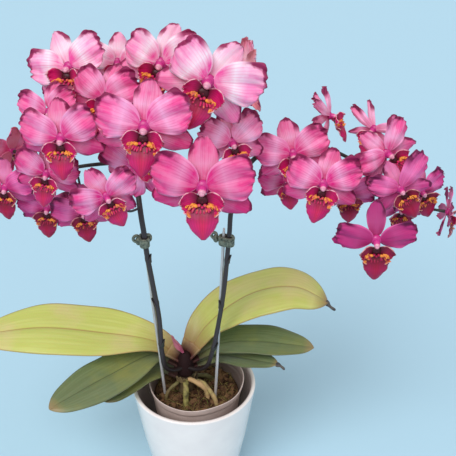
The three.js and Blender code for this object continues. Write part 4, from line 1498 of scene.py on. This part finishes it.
BLOOMS = (
    Bloom("left_1", (-98, 0, 461), 72, -14, 16, 2, PALE, angles=(34, 119, 184, 222, 330)),
    Bloom("left_2", (-62, 34, 456), 56, 4, 6, -4, PALE),
    Bloom("left_3", (-66, -22, 441), 66, -8, 6, -12, ROSE, angles=(40, 76, 149, 190, 344),
          reach=(1, 1, 0.9, 1, 1)),
    Bloom("left_4", (-21, 4, 463), 76, -4, 8, -20, PALE, True, angles=(44, 88, 168, 209, 331),
          reach=(1, 1, 0.86, 1, 1)),
    Bloom("left_5", (20, -34, 459), 84, 2, 8, -26, PALE, True, angles=(20, 72, 157, 205, 331),
          reach=(1.1, 1, 0.87, 1, 1)),
    Bloom("left_6", (-30, -62, 431), 80, 0, 8, -4, ROSE, True, angles=(27, 85, 167, 200, 341)),
    Bloom("left_7", (-97, -58, 420), 68, -4, 4, 2, ROSE, True, 0.2, (32, 92, 159, 192, 341)),
    Bloom("left_8", (-112, -27, 431), 55, -10, 6, 14, ROSE, angles=(22, 62, 150, 200, 325)),
    Bloom("left_9", (-116, -44, 383), 58, -4, 0, -8, ROSE, True, 0.3, (17, 88, 154, 209, 331)),
    Bloom("left_10", (-162, -16, 357), 58, -8, -2, 4, PURPLE),
    Bloom("left_11", (-163, 22, 377), 54, -125, 4, 0, ROSE),
    Bloom("left_12", (-129, -8, 333), 58, -6, -6, -2, PURPLE),
    Bloom("left_13", (-93, -24, 337), 58, 6, -6, 6, PURPLE, True),
    Bloom("left_14", (-61, -80, 379), 58, 18, -6, 24, ROSE, True, 0.15,
          (15, 95, 162, 212, 300)),
    Bloom("left_15", (-42, -28, 384), 66, -10, -4, 112, ROSE, depth=0.1,
          angles=(38, 88, 138, 183, 308)),
    Bloom("left_16", (51, 28, 446), 66, 150, 4, 0, PALE, angles=(18, 118, 96, 238, 331),
          slim=0.5),
    Bloom("right_1", (16, -88, 391), 84, -4, 8, 2, ROSE, True, 0.42, (13, 88, 159, 194, 330)),
    Bloom("right_2", (39, -22, 402), 64, 16, 4, 12, ROSE, depth=0.0,
          angles=(27, 88, 142, 192, 325), pallor=0.15),
    Bloom("right_3", (94, 2, 382), 70, -4, 6, 8, ROSE, angles=(25, 98, 166, 209, 331)),
    Bloom("right_4", (93, 36, 340), 58, 2, -4, 8, ROSE, depth=0.4),
    Bloom("right_5", (118, -30, 367), 70, 0, 6, -14, ROSE, True, 0.15,
          (36, 86, 167, 209, 342)),
    Bloom("right_6", (129, 36, 406), 58, 68, 22, 0, ROSE, angles=(70, 97, 144, 172, 228),
          slim=0.5, pallor=0.2, reach=(0.9, 0.95, 1.3, 1.1, 0.7)),
    Bloom("right_7", (168, 22, 398), 58, -38, 4, 0, ROSE, angles=(16, 116, 147, 200, 320),
          slim=0.42, pallor=0.2),
    Bloom("right_8", (174, -14, 389), 66, 22, 6, 36, ROSE, True,
          angles=(32, 104, 160, 209, 331), slim=0.8),
    Bloom("right_9", (182, -42, 368), 58, 6, 0, 30, PURPLE, angles=(33, 90, 140, 209, 331),
          slim=0.8, reach=(1.25, 1, 1, 1, 1)),
    Bloom("right_10", (209, -12, 352), 58, 25, -10, 22, PURPLE, reach=(0.85, 1, 1, 1, 1)),
    Bloom("right_11", (161, -65, 331), 71, 0, -2, 0, PURPLE, True, 0.8,
          (14, 93, 170, 186, 354), 0.8, reach=(0.96, 1.08, 1, 1, 1)),
    Bloom("right_12", (240, 2, 324), 54, 76, -4, 0, PURPLE),
    Bloom("right_13", (147, 6, 341), 58, 4, -8, 4, PURPLE),
    Bloom("right_14", (197, 6, 326), 54, 4, -14, 0, PURPLE),
)


# Spikes, stakes and clips


@dataclass(frozen=True)
class Spike:
    """A flower spike with its stake and clip: the lines they follow, and their sizes.

    Detours are points that single stalks run through, and joints are the places of the nodes
    with a scale, as shares of the stem.
    """

    side: str
    stem: tuple
    branches: tuple
    stake_foot: tuple[float, float, float]
    stake_top: tuple[float, float, float]
    detours: dict = field(default_factory=dict)
    stem_radius: float = 2.5
    branch_radius: float = 1.9
    stalk_radius: float = 1.1
    stake_radius: float = 1.5
    ear_turn: float = 0.0
    ear_shift: float = 0.0
    clip_height: float = 9.0
    clip_at: float = 311.5
    joints: tuple = (0.2, 0.38, 0.56)

    def stalk(self, bloom: Bloom, curves: list[np.ndarray]) -> Shell:
        """Returns a flower stalk: from the nearest point of a branch to behind the bloom.

        Args:
            bloom: the bloom that it carries.
            curves: the points of the branches.

        Returns:
            The stalk, which thickens to the ovary behind the bloom.
        """
        depth = 0.045 * bloom.span
        end, approach = bloom.point(0, 0, -depth + 1), bloom.point(0, 0, -depth - 9)
        detour = self.detours.get(bloom.name)
        goal = np.array(detour, float) if detour else approach
        choices = np.vstack(curves)
        root = choices[np.argmin(np.linalg.norm(choices - goal, axis=1))]
        middle = goal if detour else (root + approach) / 2
        if not detour:
            middle[1] = max(middle[1], approach[1])
        share = np.linspace(0, 1, 26)
        path = curve([root, middle, approach, end], share)
        return tube(path, self.stalk_radius * (0.95 + 0.55 * share**3), 10)

    def bract(self, along: float, number: int) -> Shell:
        """Returns the pointed scale at a stem node: it clasps the stem and narrows upwards.

        Args:
            along: its place on the stem, as a share of the length.
            number: its number, for the side that it is on.

        Returns:
            The scale.
        """
        place, ahead = curve(self.stem, [along, along + 0.01])
        ahead = unit(ahead - place)
        side = unit(np.cross([0, 1, 0], ahead))
        front = np.cross(ahead, side)
        u, v = lattice(12, 11)
        angle = (number * math.pi + 1.9 * v * (1 - u)**0.6)[..., None]
        reach = (self.stem_radius + 0.5 + 1.1 * u * u)[..., None]
        ring = side * np.cos(angle) + front * np.sin(angle)
        return sheet(place + ring * reach + ahead * (9 * u - 3)[..., None], 0.6, 1.0)

    def plant(self) -> list[Shell]:
        """Makes all that grew as one: a narrow bell curve swells the stem at each joint.

        Returns:
            The stem, its scales, its branches and all its flower stalks.
        """
        share = np.linspace(0, 1, 150)
        swell = 1 + 0.16 * sum(np.exp(-((share - at) / 0.006)**2) for at in self.joints)
        shells = [tube(curve(self.stem, share), self.stem_radius * swell, 18)]
        shells += [self.bract(at, k) for k, at in enumerate(self.joints)]
        share = np.linspace(0, 1, 60)
        shells += [tube(curve(branch, share), self.branch_radius * (1 - 0.25 * share), 12)
                   for branch in self.branches]
        even = np.linspace(0, 1, 25)
        curves = [curve(line, even) for line in (self.stem[-5:], *self.branches)]
        shells += [self.stalk(bloom, curves) for bloom in BLOOMS
                   if bloom.name.startswith(self.side)]
        # The main stem's foot takes its finish's base colour: painted shade by the crown.
        return [shell.tinted(draw(k + 11), 0, k == 0, 1) for k, shell in enumerate(shells)]

    def clip(self) -> list[Shell]:
        """Makes the clip that holds stem and stake together.

        The band's rings follow its section round, each two half circles with straight sides.
        An ear is a ring bent like a figure of eight, with a lump as its root.

        Returns:
            The band, both ears with their roots, and the hinge pin.
        """
        foot, top = np.array(self.stake_foot), np.array(self.stake_top)
        stake = foot + (top - foot) * (self.clip_at - foot[2]) / (top[2] - foot[2])
        stem = np.array([p for p in self.stem if p[2] >= self.clip_at - 10][0], float)
        gap = stem[:2] - stake[:2]
        half, lean = float(np.linalg.norm(gap)) / 2, math.atan2(gap[1], gap[0])
        angle = np.linspace(0, 2 * np.pi, 48, endpoint=False)
        radii = np.array([3.2, 4.3, 4.7, 4.7, 4.3, 3.2, 2.75, 2.75])[:, None]
        height = np.array([-1, -1, -0.8, 0.8, 1, 1, 0.8, -0.8])[:, None] * self.clip_height / 2
        x = np.sign(np.cos(angle)) * half + np.cos(angle) * radii
        band = hoop(np.stack(np.broadcast_arrays(x, np.sin(angle) * radii, height), -1))
        turn, still = spin("z", math.radians(self.ear_turn)), np.zeros(3)
        reach = half if self.ear_turn == 0 else 0.0
        share = np.linspace(0, 2 * np.pi, 32, endpoint=False)
        ears = []
        for end in (-1, 1):
            ring = np.column_stack([
                self.ear_shift + end * (reach + 5.2) + 2.6 * np.cos(share),
                0.5 * np.sin(2 * share), 2.8 + 3.0 * np.sin(share)])
            ahead = unit(np.roll(ring, -1, axis=0) - np.roll(ring, 1, axis=0))
            root = ball((self.ear_shift + end * (reach + 3.4), 0, 0.2), (2.8, 2.6, 4.2), 14, 8)
            ears += [shell.placed(turn, still)
                     for shell in (hoop(circles(ring, ahead, 1.45, 12)), root)]
        pin = tube(np.array([[0, -5.2, 0.5], [0, -4.4, 0.5], [0, 4.4, 0.5], [0, 5.2, 0.5]]),
                   np.array([1.2, 1.6, 1.6, 1.2]), 12)
        place = np.array([*(stake + stem)[:2] / 2, self.clip_at])
        return [shell.placed(spin("z", lean), place) for shell in (band, *ears, pin)]

    def build(self, finishes: dict) -> None:
        """Makes the spike, its stake and its clip.

        Args:
            finishes: the materials by name.
        """
        path = np.linspace(self.stake_foot, self.stake_top, 40)
        radii = np.full(40, self.stake_radius)
        radii[-1] *= 0.6
        for name, shells, kind, slot, node in (
                ("flower_stem", self.plant(), "stem", "flower_stem", "spike"),
                ("support_stake", [tube(path, radii, 18)], "stake", "stake", "stake"),
                ("orchid_clip", self.clip(), "clip", "clip", "clip")):
            make_piece(f"{name}_{self.side}", shells, finishes[kind], slot,
                       f"{node}_{self.side}")


SPIKES = (
    Spike(
        "left",
        ((-11, -5, 147.5), (-19, -12, 149), (-27, -18, 157), (-30, -21, 177), (-31, -23.5, 222),
         (-34.5, -28, 262), (-38, -31.8, 300), (-39, -33.8, 320), (-41, -32, 338),
         (-44.5, -18, 362), (-46, -4, 384), (-44, 8, 406)),
        (((-45.5, -8, 374), (-60, 2, 373), (-86, 3, 371), (-112, 2, 367), (-138, 4, 360),
          (-150, 6, 356)),
         ((-44, 7, 404), (-54, 14, 414), (-70, 18, 423), (-82, 18, 428)),
         ((-44.5, 5, 400), (-34, 10, 418), (-12, 14, 428), (12, 14, 428), (30, 14, 426))),
        (-26.4, 0, 30), (-40.7, -29.4, 324),
        {"left_14": (-50, -48, 350)}, ear_turn=-90, ear_shift=2.0,
    ),
    Spike(
        "right",
        ((-7, -5, 147), (5, -12, 150), (14, -18, 159), (20, -22, 180), (25.6, -26.3, 212),
         (31.6, -27.8, 254), (35, -30.8, 295), (37, -31.6, 320), (38.5, -28, 340),
         (46, -10, 362), (60, 6, 376), (80, 16, 384)),
        (((79, 15.5, 383.5), (104, 22, 385), (130, 22, 378), (152, 20, 368), (172, 18, 357),
          (192, 20, 345), (212, 20, 329)),),
        (18.5, -7, 30), (32.2, -30.5, 324),
        {"right_5": (132, 0, 371), "right_10": (213, 9, 344), "right_11": (181, -9, 350),
         "right_12": (224, 12, 322)}, 2.2, ear_shift=-4.0,
    ),
)


@dataclass
class FlowerSprays:
    """Both spikes with all their blooms."""

    # Stem skin: smooth, dark grey-green with a purple flush.
    stem: GrownFinish = GrownFinish("1e2020", "3a3d38", "3a3034", 220.0, (1.0, 1.0, 0.12), 0.4,
                                    0.0002)
    # Steel wire with a grey plastic coat: even, with a soft gloss.
    wire: MadeFinish = MadeFinish("d4d0d0", "c2bfc0", 90.0, 0.3, 0.00003, 0.35)
    # Injection-moulded polypropylene, dark green, with pale blotches that are painted highlights.
    moulded: MadeFinish = MadeFinish("7e8270", "333a30", 420.0, 0.28)
    # The lips of the purple blooms: darker, with duller margins.
    dark_lip: LipFinish = LipFinish("930c40", "a5144e", "a80f38", margin="e0a09c")

    def build(self) -> None:
        """Makes the spikes and the blooms."""
        finishes = {tone: PETALS[tone].build(f"{tone.value} tepal tissue") for tone in Tone}
        for key, finish, name in (
                ("lip", LipFinish(), "crimson lip tissue"),
                ("dark lip", self.dark_lip, "dark crimson lip tissue"),
                ("column", ColumnFinish(), "waxy column tissue"),
                ("stem", self.stem, "flower stem skin"),
                ("stake", self.wire, "coated steel wire"),
                ("clip", self.moulded, "moulded green polypropylene")):
            finishes[key] = finish.build(name)
        for spike in SPIKES:
            spike.build(finishes)
        for number, bloom in enumerate(BLOOMS):
            bloom.build(number, finishes)


# Studio


@dataclass(frozen=True)
class Studio:
    """The pale floor, the soft lights and the camera at the photograph's angle."""

    camera_at: tuple[float, float, float] = (35.7, -599.6, 626.8)
    look_down: float = 28.0
    focal_px: float = 723.0
    floor: str = "b4d6e8"
    sky: str = "eef2f4"
    sky_strength: float = 0.54
    sensor_mm: float = 36.0
    # (name, direction it comes from, strength in watts per square metre, spread in degrees)
    lamps: tuple = (
        ("key", (-0.7, -1.45, 2.0), 2.15, 40.0),
        ("fill", (1.4, -1.2, 1.1), 0.4, 70.0),
    )

    def lay_floor(self) -> None:
        """Makes the floor, a large even sheet of pale blue paper that rises gently far off."""
        span = np.linspace(-6, 6, 25)
        x, y = np.meshgrid(span, span + 2, indexing="ij")
        points = np.stack([x, y, 0.02 * smoothstep(2, 8, y)], -1).reshape(-1, 3)
        faces = weave(np.arange(x.size).reshape(x.shape))[:, [0, 3, 2, 1]]
        mesh = bpy.data.meshes.new("floor")
        mesh.from_pydata(points.tolist(), [], faces.tolist())
        paper = MadeFinish(self.floor, self.floor, 3.0, 0.8, specular=0.1)
        mesh.materials.append(paper.build("pale matt backdrop paper"))
        floor = bpy.data.objects.new("floor", mesh)
        bpy.context.scene.collection.objects.link(floor)

    def light(self) -> None:
        """Makes the soft lamps and the even sky."""
        for name, source, strength, spread in self.lamps:
            data = bpy.data.lights.new(name, "SUN")
            data.energy, data.angle = strength, math.radians(spread)
            lamp = bpy.data.objects.new(name, data)
            lamp.location = source
            tilt = math.acos(source[2] / math.hypot(*source))
            lamp.rotation_euler = (tilt, 0, math.atan2(-source[1], -source[0]) - math.pi / 2)
            bpy.context.scene.collection.objects.link(lamp)
        world = bpy.data.worlds.new("sky")
        world.use_nodes = True
        sky = world.node_tree.nodes["Background"]
        sky.inputs["Color"].default_value = linear(self.sky)
        sky.inputs["Strength"].default_value = self.sky_strength
        bpy.context.scene.world = world

    def aim_camera(self) -> None:
        """Makes the camera, with a lens that gives the focal length in pixels."""
        data = bpy.data.cameras.new("camera")
        data.sensor_width = self.sensor_mm
        data.lens = self.sensor_mm * self.focal_px / IMAGE_PX
        data.clip_start, data.clip_end = 0.01, 50.0
        camera = bpy.data.objects.new("camera", data)
        camera.location = [k * MM for k in self.camera_at]
        camera.rotation_euler = (math.radians(90 - self.look_down), 0, 0)
        bpy.context.scene.collection.objects.link(camera)
        bpy.context.scene.camera = camera

    def build(self) -> None:
        """Sets the stage."""
        self.lay_floor()
        self.light()
        self.aim_camera()
        bpy.context.scene.view_settings.view_transform = "Standard"


def main() -> None:
    """Builds each part of the plant in order, and then the studio."""
    logging.basicConfig(level=logging.INFO, format="%(message)s")
    for part in (Pots(), GrowingMedium(), CrownAndRoots(), Foliage(), FlowerSprays(), Studio()):
        log.info("building %s", type(part).__name__)
        part.build()


if __name__ == "__main__":
    main()
